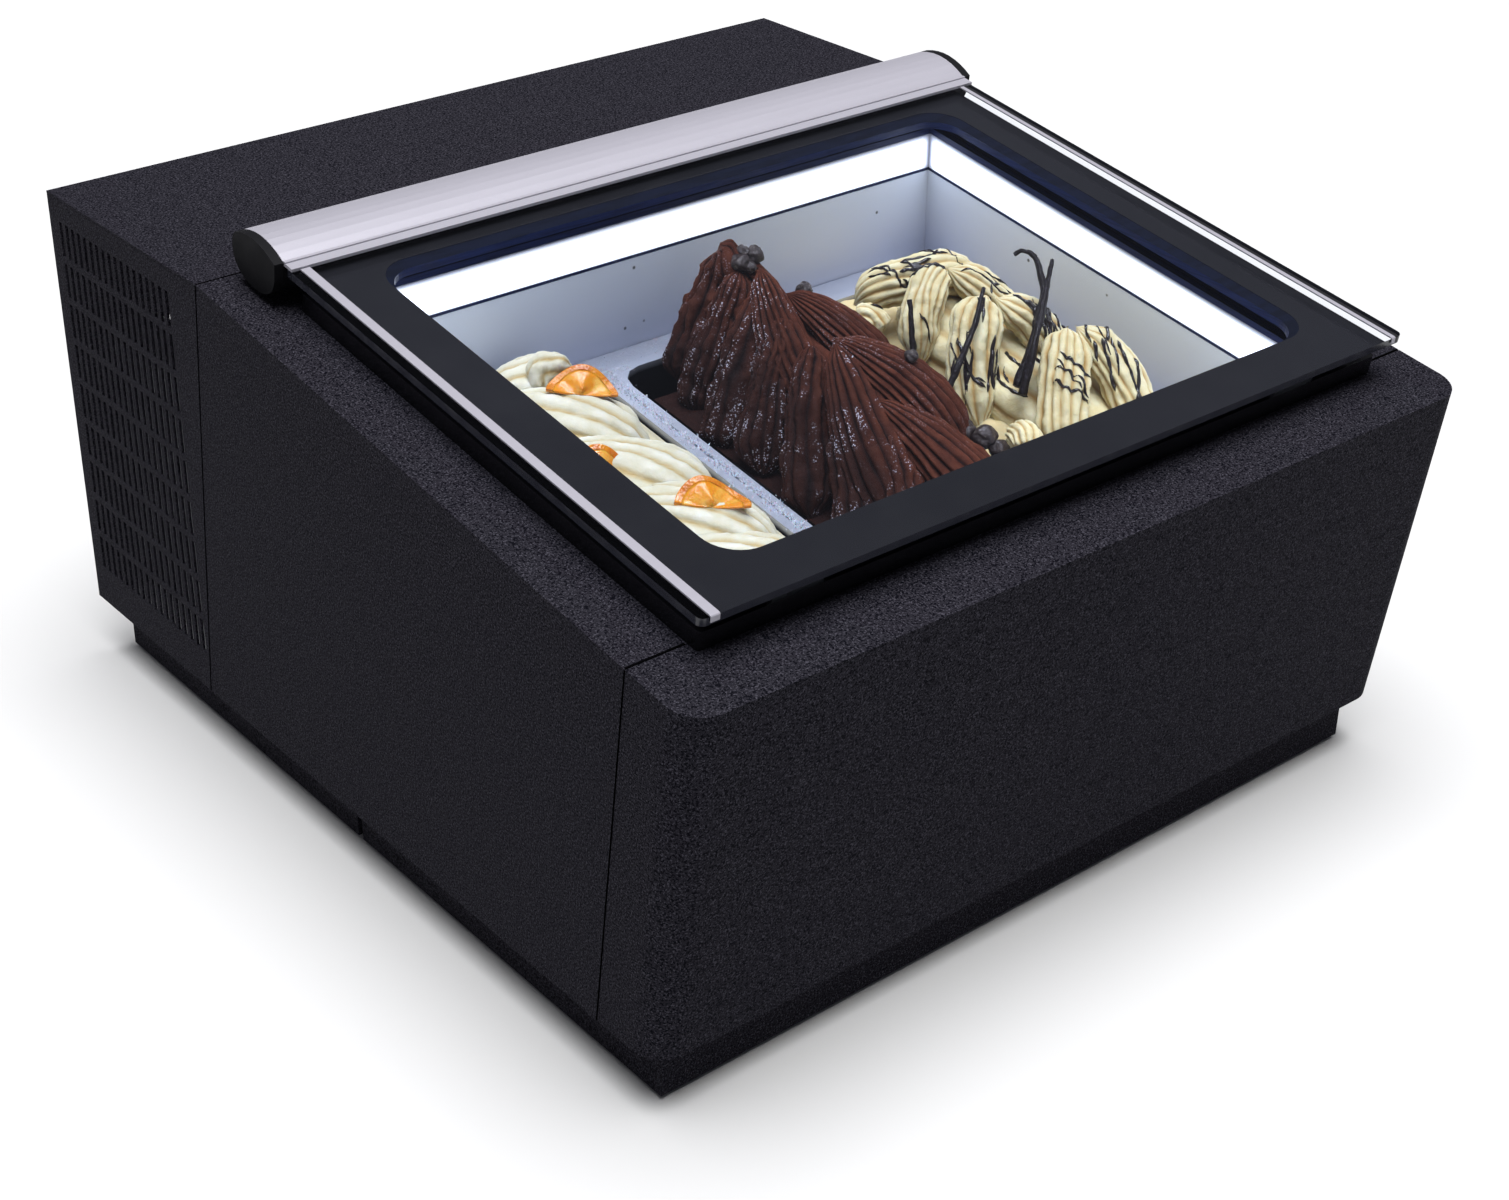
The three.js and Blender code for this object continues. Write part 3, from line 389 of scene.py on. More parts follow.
FINISHES = {
    "front_plinth_tray": PAINT, "machine_base_tray": PAINT, "front_panel": PAINT, "body_shell": PAINT,
    "machine_top_cover": PAINT, "side_grille_left": PAINT, "side_grille_right": PAINT, "back_panel": PAINT,
    "tank_insulation": FOAM, "well_liner": LINER, "well_collar": COLLAR, "lid_frame": DARK_FRAME,
    "compressor": ENAMEL, "lid_glass": GLASS, "lid_lower_pane": GLASS, "handle_cap_left": CAP,
    "handle_cap_right": CAP, "lid_trim_right": SHADED_STRIP,
}
BY_WORD = [
    ("foot", RUBBER), ("gasket", RUBBER), ("button", RUBBER), ("pan_", STEEL), ("hinge", STEEL),
    ("coil", COPPER), ("pipe", COPPER), ("drier", COPPER), ("light_strip", LIGHT), ("trim", ALUMINIUM),
    ("lid_handle", ALUMINIUM), ("plate", ZINC), ("condenser", ZINC), ("shroud", ZINC), ("motor", ZINC),
]


def finish_of(name):
    if name in FINISHES:
        return FINISHES[name]
    for word, material in BY_WORD:
        if word in name:
            return material
    return BLACK


def assign(obj, *materials):
    obj.data.materials.clear()
    for material in materials:
        obj.data.materials.append(material)


BEVELS = {
    "front_panel": 1.0, "body_shell": 0.8, "machine_top_cover": 0.9, "side_grille_left": 0.4,
    "side_grille_right": 0.4, "back_panel": 0.4, "well_collar": 0.8, "lid_frame": 0.6, "lid_glass": 0.9,
    "lid_trim_left": 0.3, "lid_trim_right": 0.3, "handle_cap_left": 1.2, "handle_cap_right": 1.2,
    "pan_support_frame": 0.4, "pan_left": 0.4, "pan_middle": 0.4, "pan_right": 0.4, "thermostat_module": 0.8,
    "power_button": 0.6, "colder_button": 0.6, "warmer_button": 0.6, "mains_inlet": 0.6,
    "mains_switch_housing": 0.6, "mains_rocker": 0.5, "compressor_terminal_box": 2.0,
}


def soften(obj, width):
    """Rounds the sharp edges and shades the rest smooth."""
    bevel = obj.modifiers.new("edge_rounding", "BEVEL")
    bevel.width = width * MM
    bevel.segments = 2
    bevel.limit_method = "ANGLE"
    bevel.angle_limit = math.radians(35)


for name, obj in NODES.items():
    assign(obj, finish_of(name))
    if name in BEVELS:
        soften(obj, BEVELS[name])


# ---------------------------------------------------------------- building pieces
def make(name, verts, faces, material, body="cabinet", smooth=True):
    """A new piece from vertices in metres, riding on one of the bodies."""
    mesh = bpy.data.meshes.new(name)
    mesh.from_pydata([tuple(v) for v in verts], [], faces)
    mesh.validate()
    mesh.update()
    obj = bpy.data.objects.new(name, mesh)
    bpy.context.collection.objects.link(obj)
    assign(obj, material)
    if smooth:
        for polygon in mesh.polygons:
            polygon.use_smooth = True
    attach(obj, body)
    return obj


def smoothstep(t):
    t = np.clip(t, 0, 1)
    return t * t * (3 - 2 * t)


def spline(points, count):
    """Points along a Catmull-Rom curve through the given ones."""
    p = np.array(points, float)
    p = np.vstack([2 * p[0] - p[1], p, 2 * p[-1] - p[-2]])
    spans = len(p) - 3
    out = []
    for t in np.linspace(0, spans, count):
        i = min(int(t), spans - 1)
        u = t - i
        a, b, c, d = p[i:i + 4]
        out.append(0.5 * (2 * b + (c - a) * u + (2 * a - 5 * b + 4 * c - d) * u**2
                          + (3 * b - a - 3 * c + d) * u**3))
    return np.array(out)


def rumple(p, scale, seed):
    """Smooth noise at a point given in millimetres."""
    return noise.fractal(Vector((p[0] / scale + seed, p[1] / scale, p[2] / scale)), 0.8, 2.1, 3)


class Heap:
    """Ice cream built up from ribbed lobes in deck coordinates, then joined as one mesh."""

    def __init__(self):
        self.verts, self.faces, self.ridge, self.frost = [], [], [], []

    def lobe(self, path, width, height, ribs=7, depth=0.16, seed=0.0, up=(0, 0, 1), steps=56, around=64,
             taper=(0.35, 0.3), rough=1.6, twist=0.0, frost=(0.0, 0.0)):
        """A soft tongue along a path, wide and high in mm, with ribs and frost that run along it."""
        centre = spline(path, steps)
        widths = spline([[w] for w in width], steps)[:, 0]
        heights = spline([[h] for h in height], steps)[:, 0]
        tangents = np.gradient(centre, axis=0)
        tangents /= np.linalg.norm(tangents, axis=1)[:, None]
        base = len(self.verts)
        for i in range(steps):
            t = i / (steps - 1)
            end = min(smoothstep(t / taper[0]), smoothstep((1 - t) / taper[1]))
            end = math.sqrt(max(end, 1e-4))
            side = np.cross(tangents[i], up)
            side /= np.linalg.norm(side)
            over = np.cross(side, tangents[i])
            for j in range(around):
                a = 2 * math.pi * j / around
                drift = noise.noise(Vector((math.cos(a) * 1.6 + seed, math.sin(a) * 1.6, 3.2 * t)))
                phase = ribs * (a + twist * t) + 1.6 * math.sin(a * 2 + seed) + 2.2 * drift
                crest = abs(math.sin(phase / 2)) ** 0.8
                rib = 1 - depth * (1 - crest) * (0.35 + 0.65 * end)
                outward = side * math.cos(a) + over * math.sin(a)
                point = (centre[i] + side * math.cos(a) * widths[i] * end * rib
                         + over * math.sin(a) * heights[i] * end * rib)
                push = rumple(point, 26, seed) * rough + rumple(point, 8, seed + 5) * rough * 0.5
                point = point + outward * push
                self.verts.append(point)
                self.ridge.append(float(np.clip(crest + 0.15 * rumple(point, 12, seed + 9), 0, 1)))
                self.frost.append(frost[0] + (frost[1] - frost[0]) * t)
        for i in range(steps - 1):
            for j in range(around):
                k = (j + 1) % around
                self.faces.append((base + i * around + j, base + i * around + k,
                                   base + (i + 1) * around + k, base + (i + 1) * around + j))
        self.faces.append(tuple(base + j for j in reversed(range(around))))
        self.faces.append(tuple(base + (steps - 1) * around + j for j in range(around)))

    def fill(self, x0, x1, s0, s1, level, seed=0.0):
        """The body of ice cream that fills a pan up to a gently rumpled level."""
        base = len(self.verts)
        nx, ns, swell, edge = 44, 90, 6.0, -94
        for i in range(ns):
            for j in range(nx):
                u, v = j / (nx - 1), i / (ns - 1)
                x, s = x0 + (x1 - x0) * u, s0 + (s1 - s0) * v
                rim = min(smoothstep(min(u, 1 - u) * 6), smoothstep(min(v, 1 - v) * 12))
                n = level * rim + edge * (1 - rim)
                self.verts.append(np.array([x, s, n + swell * rim * rumple((x, s, 0), 30, seed)]))
                self.ridge.append(0.5)
                self.frost.append(0.4)
        for i in range(ns - 1):
            for j in range(nx - 1):
                a = base + i * nx + j
                self.faces.append((a, a + 1, a + nx + 1, a + nx))

    def build(self, name, material, node):
        obj = make(name, [deck(*v) for v in self.verts], self.faces, material)
        for key, values in (("ridge", self.ridge), ("frost", self.frost)):
            layer = obj.data.attributes.new(key, "FLOAT", "POINT")
            layer.data.foreach_set("value", np.array(values, np.float32))
        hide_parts(node)
        return obj


# ---------------------------------------------------------------- ice cream
ORANGE_ICE = ice("orange_cream_ice", (0.50, 0.465, 0.33), (0.40, 0.29, 0.12), (0.60, 0.575, 0.47), 0.2)
CHOCOLATE_ICE = ice("chocolate_ice", (0.058, 0.0150, 0.0078), (0.005, 0.0016, 0.0014),
                    (0.098, 0.0275, 0.0140), 0.08, True)
VANILLA_ICE = ice("vanilla_ice", (0.60, 0.51, 0.28), (0.42, 0.25, 0.075), (0.72, 0.66, 0.43), 0.2)


def orange_heap():
    heap = Heap()
    heap.fill(-237, -93, 77, 428, -74, seed=3)
    heap.lobe([(-198, 434, -94), (-180, 420, -78), (-156, 402, -64), (-128, 372, -82)],
              [12, 26, 30, 20], [12, 20, 22, 16], ribs=13, depth=0.14, seed=1, twist=0.6, taper=(0.3, 0.3),
              around=96)
    rows = [(388, -60), (316, -57), (250, -57), (188, -58), (126, -62)]
    for i, (s, top) in enumerate(rows):
        path = [(-224, s + 10, top - 30), (-192, s - 14, top - 10), (-155, s - 54, top - 8),
                (-122, s - 88, top - 36)]
        heap.lobe(path, [18, 34, 36, 20], [14, 24, 24, 16], ribs=15, depth=0.14, seed=1.7 * i, twist=0.7,
                  taper=(0.25, 0.28), around=120)
    heap.lobe([(-170, 400, -58), (-163, 394, -42), (-158, 386, -34), (-150, 380, -36)],
              [20, 15, 9, 7], [17, 13, 8, 6], ribs=6, depth=0.2, seed=8, steps=34, around=48, rough=2.6)
    return heap.build("orange_cream_scoops", ORANGE_ICE, "orange_cream_ice")


def chocolate_heap():
    heap = Heap()
    heap.fill(-66, 70, 80, 388, -90, seed=5)
    heap.lobe([(6, 404, -46), (6, 388, -36), (6, 340, -48), (4, 270, -58), (2, 190, -74), (0, 120, -94)],
              [14, 24, 30, 34, 34, 20], [16, 24, 26, 26, 22, 14], ribs=12, depth=0.14, seed=2, steps=90,
              around=90)
    left = [  # lobes that run down the left side
        [(7, 411, -2), (-1, 408, -20), (-13, 403, -46), (-26, 396, -70), (-38, 388, -94)],
        [(7, 392, -6), (-5, 384, -26), (-21, 374, -52), (-38, 364, -78), (-50, 356, -97)],
        [(5, 366, -10), (-12, 352, -30), (-30, 338, -56), (-49, 322, -82), (-62, 312, -98)],
        [(2, 336, -14), (-20, 314, -34), (-42, 292, -60), (-62, 268, -92)],
        [(0, 300, -20), (-23, 274, -42), (-45, 242, -68), (-64, 212, -95)],
        [(-2, 258, -30), (-24, 228, -52), (-44, 190, -76), (-60, 160, -95)],
        [(0, 214, -44), (-18, 178, -64), (-34, 136, -84), (-44, 106, -96)],
    ]
    fans = [  # path, widths, heights, ribs and frost of the ribbed fans
        ([(12, 398, -2), (26, 388, -26), (42, 374, -56), (56, 358, -92)],
         [8, 17, 22, 20], [7, 11, 13, 11], 12, 0.3),
        ([(14, 350, -7), (32, 326, -20), (50, 300, -42), (66, 272, -84)],
         [7, 22, 31, 26], [6, 12, 15, 13], 20, 0.25),
        ([(7, 288, -10), (26, 256, -23), (45, 224, -46), (62, 192, -84)],
         [7, 26, 36, 30], [6, 14, 18, 15], 22, 0.25),
        ([(2, 236, -30), (20, 198, -48), (36, 158, -70), (50, 126, -94)],
         [8, 24, 32, 26], [8, 14, 16, 12], 18, 0.1),
        ([(10, 376, 2), (0, 346, -15), (-10, 310, -36), (-17, 270, -64)],
         [6, 15, 22, 20], [6, 12, 14, 12], 16, 0.9),
        ([(4, 284, -10), (-6, 246, -33), (-18, 200, -60), (-28, 154, -90)],
         [7, 22, 30, 26], [7, 14, 16, 12], 18, 0.7),
    ]
    for i, path in enumerate(left):
        count = len(path)
        heap.lobe(path, np.interp(np.linspace(0, 1, count), [0, 0.5, 1], [8, 19, 21]),
                  np.interp(np.linspace(0, 1, count), [0, 0.5, 1], [8, 14, 12]), ribs=11, depth=0.24,
                  seed=3.1 * i, taper=(0.12, 0.16), twist=0.4, rough=3.4, around=96, frost=(0.8, 1.0))
    for i, (path, width, height, ribs, frost) in enumerate(fans):
        heap.lobe(path, width, height, ribs=ribs, depth=0.2, seed=20 + 2.3 * i, taper=(0.14, 0.22),
                  twist=-0.15, rough=1.3, around=150, steps=48, frost=(frost * 2.2, frost * 0.4))
    heap.lobe([(5, 398, -30), (6, 405, -10), (7, 411, 0), (5, 415, 4)],
              [20, 15, 10, 7], [17, 14, 10, 7], ribs=9, depth=0.2, seed=50, up=(0, 1, 0), steps=30, around=60,
              frost=(0.5, 0.2))
    return heap.build("chocolate_scoops", CHOCOLATE_ICE, "chocolate_ice")


def vanilla_heap():
    heap = Heap()
    heap.fill(93, 237, 77, 428, -76, seed=9)
    heap.lobe([(168, 384, -80), (168, 336, -68), (168, 260, -70), (168, 180, -76), (168, 110, -92)],
              [28, 48, 50, 48, 34], [18, 26, 28, 26, 16], ribs=10, depth=0.12, seed=4, steps=70, around=70)
    lobes = [
        ([(108, 372, -56), (124, 362, -40), (150, 349, -32), (178, 338, -33), (198, 320, -54)], 20, 17),
        ([(92, 352, -54), (98, 344, -52), (102, 334, -62)], 13, 13),
        ([(156, 334, -18), (136, 325, -24), (120, 313, -44), (111, 298, -74)], 16, 12),
        ([(160, 332, -18), (178, 310, -30), (194, 286, -52), (208, 262, -82)], 20, 14),
        ([(152, 282, -14), (131, 268, -26), (118, 252, -52), (109, 226, -86)], 20, 14),
        ([(156, 276, -14), (176, 256, -30), (194, 236, -56), (208, 220, -86)], 20, 15),
        ([(172, 218, -12), (155, 200, -26), (140, 182, -50), (126, 158, -86)], 20, 15),
        ([(178, 216, -12), (190, 188, -30), (198, 162, -58), (204, 140, -88)], 21, 15),
        ([(160, 150, -46), (150, 124, -62), (140, 100, -88)], 24, 16),
        ([(186, 150, -50), (200, 124, -66), (208, 100, -88)], 22, 16),
        ([(102, 190, -68), (99, 178, -60), (96, 168, -66)], 13, 12),
    ]
    for i, (path, wide, high) in enumerate(lobes):
        shape = np.interp(np.linspace(0, 1, len(path)), [0, 0.4, 1], [0.7, 1.0, 0.95])
        heap.lobe(path, wide * shape, high * shape, ribs=12, depth=0.17, seed=30 + 1.9 * i, taper=(0.2, 0.25),
                  twist=0.3, rough=2.0, around=96)
    return heap.build("vanilla_scoops", VANILLA_ICE, "vanilla_ice")


orange = orange_heap()
chocolate = chocolate_heap()
vanilla = vanilla_heap()


def tube(path, radius, around=10, steps=40, wrinkle=0.0, seed=0.0):
    """Vertices and faces of a tapered rod along a path of deck points in mm."""
    centre = spline(path, steps)
    radii = spline([[r] for r in radius], steps)[:, 0]
    tangents = np.gradient(centre, axis=0)
    verts, faces = [], []
    for i in range(steps):
        t = tangents[i] / np.linalg.norm(tangents[i])
        side = np.cross(t, (0.2, 0.9, 0.3))
        side /= np.linalg.norm(side)
        over = np.cross(side, t)
        for j in range(around):
            a = 2 * math.pi * j / around
            r = radii[i] * (1 + wrinkle * noise.noise(Vector((a * 1.5, i * 0.22, seed))))
            verts.append(deck(*(centre[i] + (side * math.cos(a) + over * math.sin(a)) * r)))
    for i in range(steps - 1):
        for j in range(around):
            k = (j + 1) % around
            faces.append((i * around + j, i * around + k, (i + 1) * around + k, (i + 1) * around + j))
    faces.append(tuple(reversed(range(around))))
    faces.append(tuple((steps - 1) * around + j for j in range(around)))
    return verts, faces


def joined(name, parts, material, smooth=True):
    """One piece on the cabinet from several lots of vertices and faces."""
    verts, faces = [], []
    for v, f in parts:
        faces += [tuple(i + len(verts) for i in face) for face in f]
        verts += list(v)
    make(name, verts, faces, material, smooth=smooth)


def pod_skin():
    m = Shader("vanilla_pod", (0.009, 0.006, 0.006), 0.5, Specular_IOR_Level=0.15)
    m.bump(m.noise(240, 4, (1, 1, 1), 0.7), 0.7, 0.001)
    m.rough(m.noise(160), 0.3, 0.6)
    m.tint(m.remap(m.noise(420, 3), 0.56, 0.7, 0, 0.8), (0.04, 0.034, 0.045))
    return m.material


def syrup():
    m = Shader("dark_syrup", (0.012, 0.007, 0.007), 0.18)
    m.bump(m.noise(120, 3), 0.2, 0.0008)
    m.rough(m.noise(90), 0.14, 0.34)
    return m.material


def candied_peel():
    m = Shader("candied_peel", (0.56, 0.20, 0.010), 0.25, Subsurface_Weight=0.3, Subsurface_Scale=0.004)
    m.tint(m.remap(m.noise(120, 4), 0.45, 0.65), (0.44, 0.12, 0.006))
    m.bump(m.cells(520), 0.5, 0.0008)
    m.rough(m.noise(200), 0.16, 0.36)
    return m.material


def candied_flesh():
    m = Shader("candied_flesh", (0.60, 0.22, 0.010), 0.2, Subsurface_Weight=0.4, Subsurface_Scale=0.004)
    m.tint(m.remap(m.noise(90, 4), 0.5, 0.7), (0.66, 0.37, 0.07))
    m.bump(m.noise(320, 4), 0.5, 0.0012)
    m.rough(m.noise(140), 0.12, 0.35)
    return m.material


def nut_crust():
    m = Shader("dark_nut", (0.022, 0.013, 0.012), 0.35)
    m.bump(m.noise(260, 5, rough=0.7), 0.8, 0.0016)
    m.rough(m.noise(160), 0.25, 0.55)
    m.tint(m.remap(m.noise(300, 4), 0.58, 0.72, 0, 0.7), (0.16, 0.13, 0.11))
    return m.material


def frost_crystal():
    m = Shader("frost", (0.50, 0.52, 0.58), 0.5, Subsurface_Weight=0.3, Subsurface_Scale=0.002)
    m.bump(m.noise(1600, 3), 0.4, 0.0004)
    m.rough(m.noise(500), 0.25, 0.6)
    return m.material


POD, SYRUP, NUT = pod_skin(), syrup(), nut_crust()
PEEL, FLESH, FROST = candied_peel(), candied_flesh(), frost_crystal()

joined("vanilla_pods", [
    tube([(120, 204, -46), (137, 216, -20), (164, 238, 0), (180, 251, 7), (196, 264, 13)],
         [3.2, 3.0, 2.5, 2.0, 1.6], wrinkle=0.5, seed=1),
    tube([(122, 212, -44), (144, 224, -22), (169, 243, -2), (186, 266, 8), (190, 278, 12), (187, 286, 12.5),
          (182, 289, 9)], [3.0, 3.2, 2.8, 2.2, 1.9, 1.7, 1.5], wrinkle=0.5, seed=2, steps=56),
    tube([(76, 237, -54), (94, 245, -34), (115, 256, -16), (137, 273, 2)],
         [2.6, 2.5, 2.0, 1.3], wrinkle=0.5, seed=3),
    tube([(90, 282, -60), (96, 296, -40), (103, 311, -18)], [2.4, 2.2, 1.8], wrinkle=0.5, seed=4),
], POD)


def tree_of(obj):
    return BVHTree.FromPolygons([v.co for v in obj.data.vertices],
                                [tuple(p.vertices) for p in obj.data.polygons])


def dropped(tree, x, s):
    """Height off the deck where something falling straight onto a heap lands."""
    down = DECK.to_3x3() @ Vector((0, 0, -1))
    hit = tree.ray_cast(deck(x, s, 60), down)[0]
    return (DECK.inverted() @ hit).z / MM if hit else None


def nuggets():
    """Dark nuts. The high ones rest on the chocolate, the low ones lie between two pans."""
    spots = [(8, 393, 5, 7.5), (22, 396, 4, 7.5), (15, 401, 6, 6), (23, 356, 3, 6), (30, 347, 0, 6),
             (75, 192, -60, 9), (70, 206, -62, 8), (80, 182, -66, 8), (44, 246, -14, 5), (12, 388, 3, 5)]
    tree = tree_of(chocolate)
    parts = []
    for i, (x, s, n, r) in enumerate(spots):
        if n > -50:
            n = dropped(tree, x, s) + 0.45 * r
        ball = bmesh.new()
        bmesh.ops.create_icosphere(ball, subdivisions=4, radius=r)
        for v in ball.verts:
            lumps = noise.noise(v.co / (r * 0.7) + Vector((i * 3.0, 0, 0)))
            v.co *= 1 + 0.28 * lumps + 0.06 * noise.noise(v.co / 1.2)
        parts.append(([deck(x + v.co.x, s + v.co.y, n + v.co.z * 0.85) for v in ball.verts],
                      [tuple(v.index for v in f.verts) for f in ball.faces]))
        ball.free()
    joined("chocolate_nuts", parts, NUT)


def orange_slices():
    """Half slices of candied orange: a rim of peel round the flesh, bent like dried fruit."""
    lift, flatness = 2.5, 0.78
    spots = [(-160, 355, 25, -0.62, 0.16), (-204, 277, 23, -0.5, 0.3), (-168, 201, 25, -0.74, 0.10)]
    tree = tree_of(orange)
    rims, flesh = [], []
    steps, rings = 40, 9
    for x, s, r, turn, tilt in spots:
        n = dropped(tree, x, s) + lift
        place = (Matrix.Translation((x, s, n)) @ Matrix.Rotation(turn, 4, "Z")
                 @ Matrix.Rotation(tilt, 4, "X"))
        for inner, outer, thick, target in ((0.0, 0.82, 1.6, flesh), (0.8, 1.0, 2.8, rims)):
            verts, faces = [], []
            for side in (1, -1):
                for i in range(steps + 1):
                    a = math.pi * i / steps
                    for j in range(rings):
                        q = r * (inner + (outer - inner) * j / (rings - 1))
                        curl = (2.6 * math.sin(2 * a + turn * 3) + 2.8 * math.sin(3 * a + x) * q / r
                                + 0.004 * q * q)
                        segment = 0.5 * abs(math.sin(4 * a)) if target is flesh else 0
                        p = Vector((q * math.cos(a), q * math.sin(a) * flatness,
                                    curl + side * (thick / 2 + segment)))
                        verts.append(deck(*(place @ p)))
            half = (steps + 1) * rings
            for i in range(steps):
                for j in range(rings - 1):
                    k = i * rings + j
                    faces.append((k, k + rings, k + rings + 1, k + 1))
                    faces.append((half + k, half + k + 1, half + k + rings + 1, half + k + rings))
                for j in (0, rings - 1):
                    k = i * rings + j
                    faces.append((k, k + rings, half + k + rings, half + k))
            for i in (0, steps):
                for j in range(rings - 1):
                    k = i * rings + j
                    faces.append((k, k + 1, half + k + 1, half + k))
            target.append((verts, faces))
    joined("orange_slice_peel", rims, PEEL)
    joined("orange_slice_flesh", flesh, FLESH)


def drizzle():
    """Dark syrup poured in short runs of near-parallel threads over the vanilla."""
    tree = tree_of(vanilla)
    rng = np.random.default_rng(11)
    parts, pours, most_pours, low, pitch, step = [], 0, 46, -46, 5.5, 2.8
    while pours < most_pours:
        x0, s0 = rng.uniform(96, 202), rng.uniform(165, 378)
        top = dropped(tree, x0, s0)
        if top is None or top < low:
            continue
        pours += 1
        heading0 = -1.55 + 0.7 * math.sin(s0 / 30 + x0 / 50)
        bend = rng.normal(0.04, 0.05)
        for thread in range(int(rng.integers(1, 4))):
            x = x0 + pitch * thread * math.sin(-heading0) + rng.normal(0, 1.0)
            s = s0 + pitch * thread * math.cos(heading0) + rng.normal(0, 1.5)
            heading = heading0 + rng.normal(0, 0.1)
            thick = rng.uniform(0.6, 1.5)
            points = []
            for _ in range(int(rng.uniform(6, 16))):
                n = dropped(tree, x, s)
                if n is None or (points and abs(n - points[-1][2]) > 14):
                    break
                points.append((x, s, n + thick * 0.1))
                heading += bend + rng.normal(0, 0.05)
                x += step * math.cos(heading)
                s += step * math.sin(heading)
            if len(points) > 3:
                radii = [thick * (0.7 + 0.5 * abs(math.sin(0.9 * k + thread))) for k in range(len(points))]
                radii[0] = radii[-1] = 0.3
                parts.append(tube(points, radii, around=7, steps=len(points) * 3, wrinkle=0.5,
                                  seed=thread + x0))
    joined("syrup_drizzle", parts, SYRUP)


def frost():
    """Ice crystals along the pan rims and the edges of the chocolate."""
    rng = np.random.default_rng(4)
    verts, faces = [], []

    def crystal(centre, size):
        base = len(verts)
        spin = rng.uniform(0, 6.28)
        for k in range(3):
            a = spin + k * 2.094
            verts.append(deck(centre[0] + size * 0.5 * math.cos(a), centre[1] + size * 0.5 * math.sin(a),
                              centre[2]))
        lean = rng.normal(0, size * 0.5, 2)
        verts.append(deck(centre[0] + lean[0], centre[1] + lean[1],
                          centre[2] + size * rng.uniform(0.5, 1.3)))
        faces.extend([(base, base + 2, base + 1), (base, base + 1, base + 3), (base + 1, base + 2, base + 3),
                      (base + 2, base, base + 3)])

    for edge in (-82.5, 82.5):
        for _ in range(5200):
            x = edge + rng.normal(0, 3.2)
            s = rng.uniform(76, 430)
            if noise.noise(Vector((x * 0.1, s * 0.045, 3))) > -0.25:
                crystal((x, s, PAN_RIM), rng.uniform(0.5, 2.0))
    for _ in range(2400):
        crystal((rng.uniform(-150, -60), 429 - abs(rng.normal(0, 3.0)), PAN_RIM), rng.uniform(0.4, 1.6))
    for _ in range(2600):
        crystal((rng.uniform(-160, 20), rng.uniform(432, 456), PAN_RIM - 0.7), rng.uniform(0.3, 0.9))
    make("frost_crystals", verts, faces, FROST, smooth=False)


nuggets()
orange_slices()
drizzle()
frost()


# ---------------------------------------------------------------- lid details
def round_rect(half, s0, s1, radius):
    """The outline of a rectangle with round corners, in mm on the deck."""
    points, per_corner = [], 10
    for cx, cs, start in ((half - radius, s1 - radius, 0), (-half + radius, s1 - radius, 90),
                          (-half + radius, s0 + radius, 180), (half - radius, s0 + radius, 270)):
        for i in range(per_corner):
            a = math.radians(start + 90 * i / (per_corner - 1))
            points.append((cx + radius * math.cos(a), cs + radius * math.sin(a)))
    return points


def glass_border():
    """The printed border lies between the glass and the frame, narrower at the right and the rear."""
    outer = round_rect(303.5, 41.4, 489, 4)
    inner = [(x + 6, s) for x, s in round_rect(266, 83, 469, 26)]
    verts, faces = [], []
    for n in (28.16, 28.36):
        verts += [deck(x, s, n) for x, s in outer] + [deck(x, s, n) for x, s in inner]
    count = len(outer)
    for i in range(count):
        j = (i + 1) % count
        faces.append((i, count + i, count + j, j))
        faces.append((2 * count + i, 2 * count + j, 3 * count + j, 3 * count + i))
        faces.append((i, j, 2 * count + j, 2 * count + i))
        faces.append((count + i, 3 * count + i, 3 * count + j, count + j))
    make("glass_black_border", verts, faces, PRINT, "lid", smooth=False)


def glass_edges():
    """The ground edges of the upper pane are dark."""
    m = Shader("ground_glass_edge", (0.016, 0.017, 0.024), 0.12)
    m.rough(m.noise(80), 0.08, 0.2)
    m.bump(m.noise(300), 0.1, 0.0002)
    glass = NODES["lid_glass"]
    glass.data.materials.append(m.material)
    off = DECK.to_3x3() @ Vector((0, 0, 1))
    for polygon in glass.data.polygons:
        if abs(polygon.normal.dot(off)) < 0.5:
            polygon.material_index = 1


def inner_walls(name):
    """Painted blue glow on the walls that face the window, and a darker painted glow on the frame's top, seen
    through the glass.
    """
    obj = NODES[name]
    obj.data.materials.append(GLOW_PAINTED_WALL)
    obj.data.materials.append(GLOW_PAINTED_TOP)
    to_deck, window_middle = DECK.inverted(), Vector((0, 270, 0))
    for polygon in obj.data.polygons:
        at = to_deck @ (obj.matrix_world @ polygon.center) / MM - window_middle
        normal = to_deck.to_3x3() @ polygon.normal
        at.z = 0
        if abs(normal.z) < 0.5 and normal.dot(at) < 0:
            polygon.material_index = 1
        elif normal.z > 0.5 and name == "lid_frame":
            polygon.material_index = 2


def handle_underside():
    """The inner underside of the handle, below the glass, is dark."""
    obj = NODES["lid_handle"]
    obj.data.materials.append(CAP)
    to_deck = DECK.inverted()
    for polygon in obj.data.polygons:
        at = to_deck @ (obj.matrix_world @ polygon.center) / MM
        if at.z < 33 and at.y < 512:
            polygon.material_index = 1


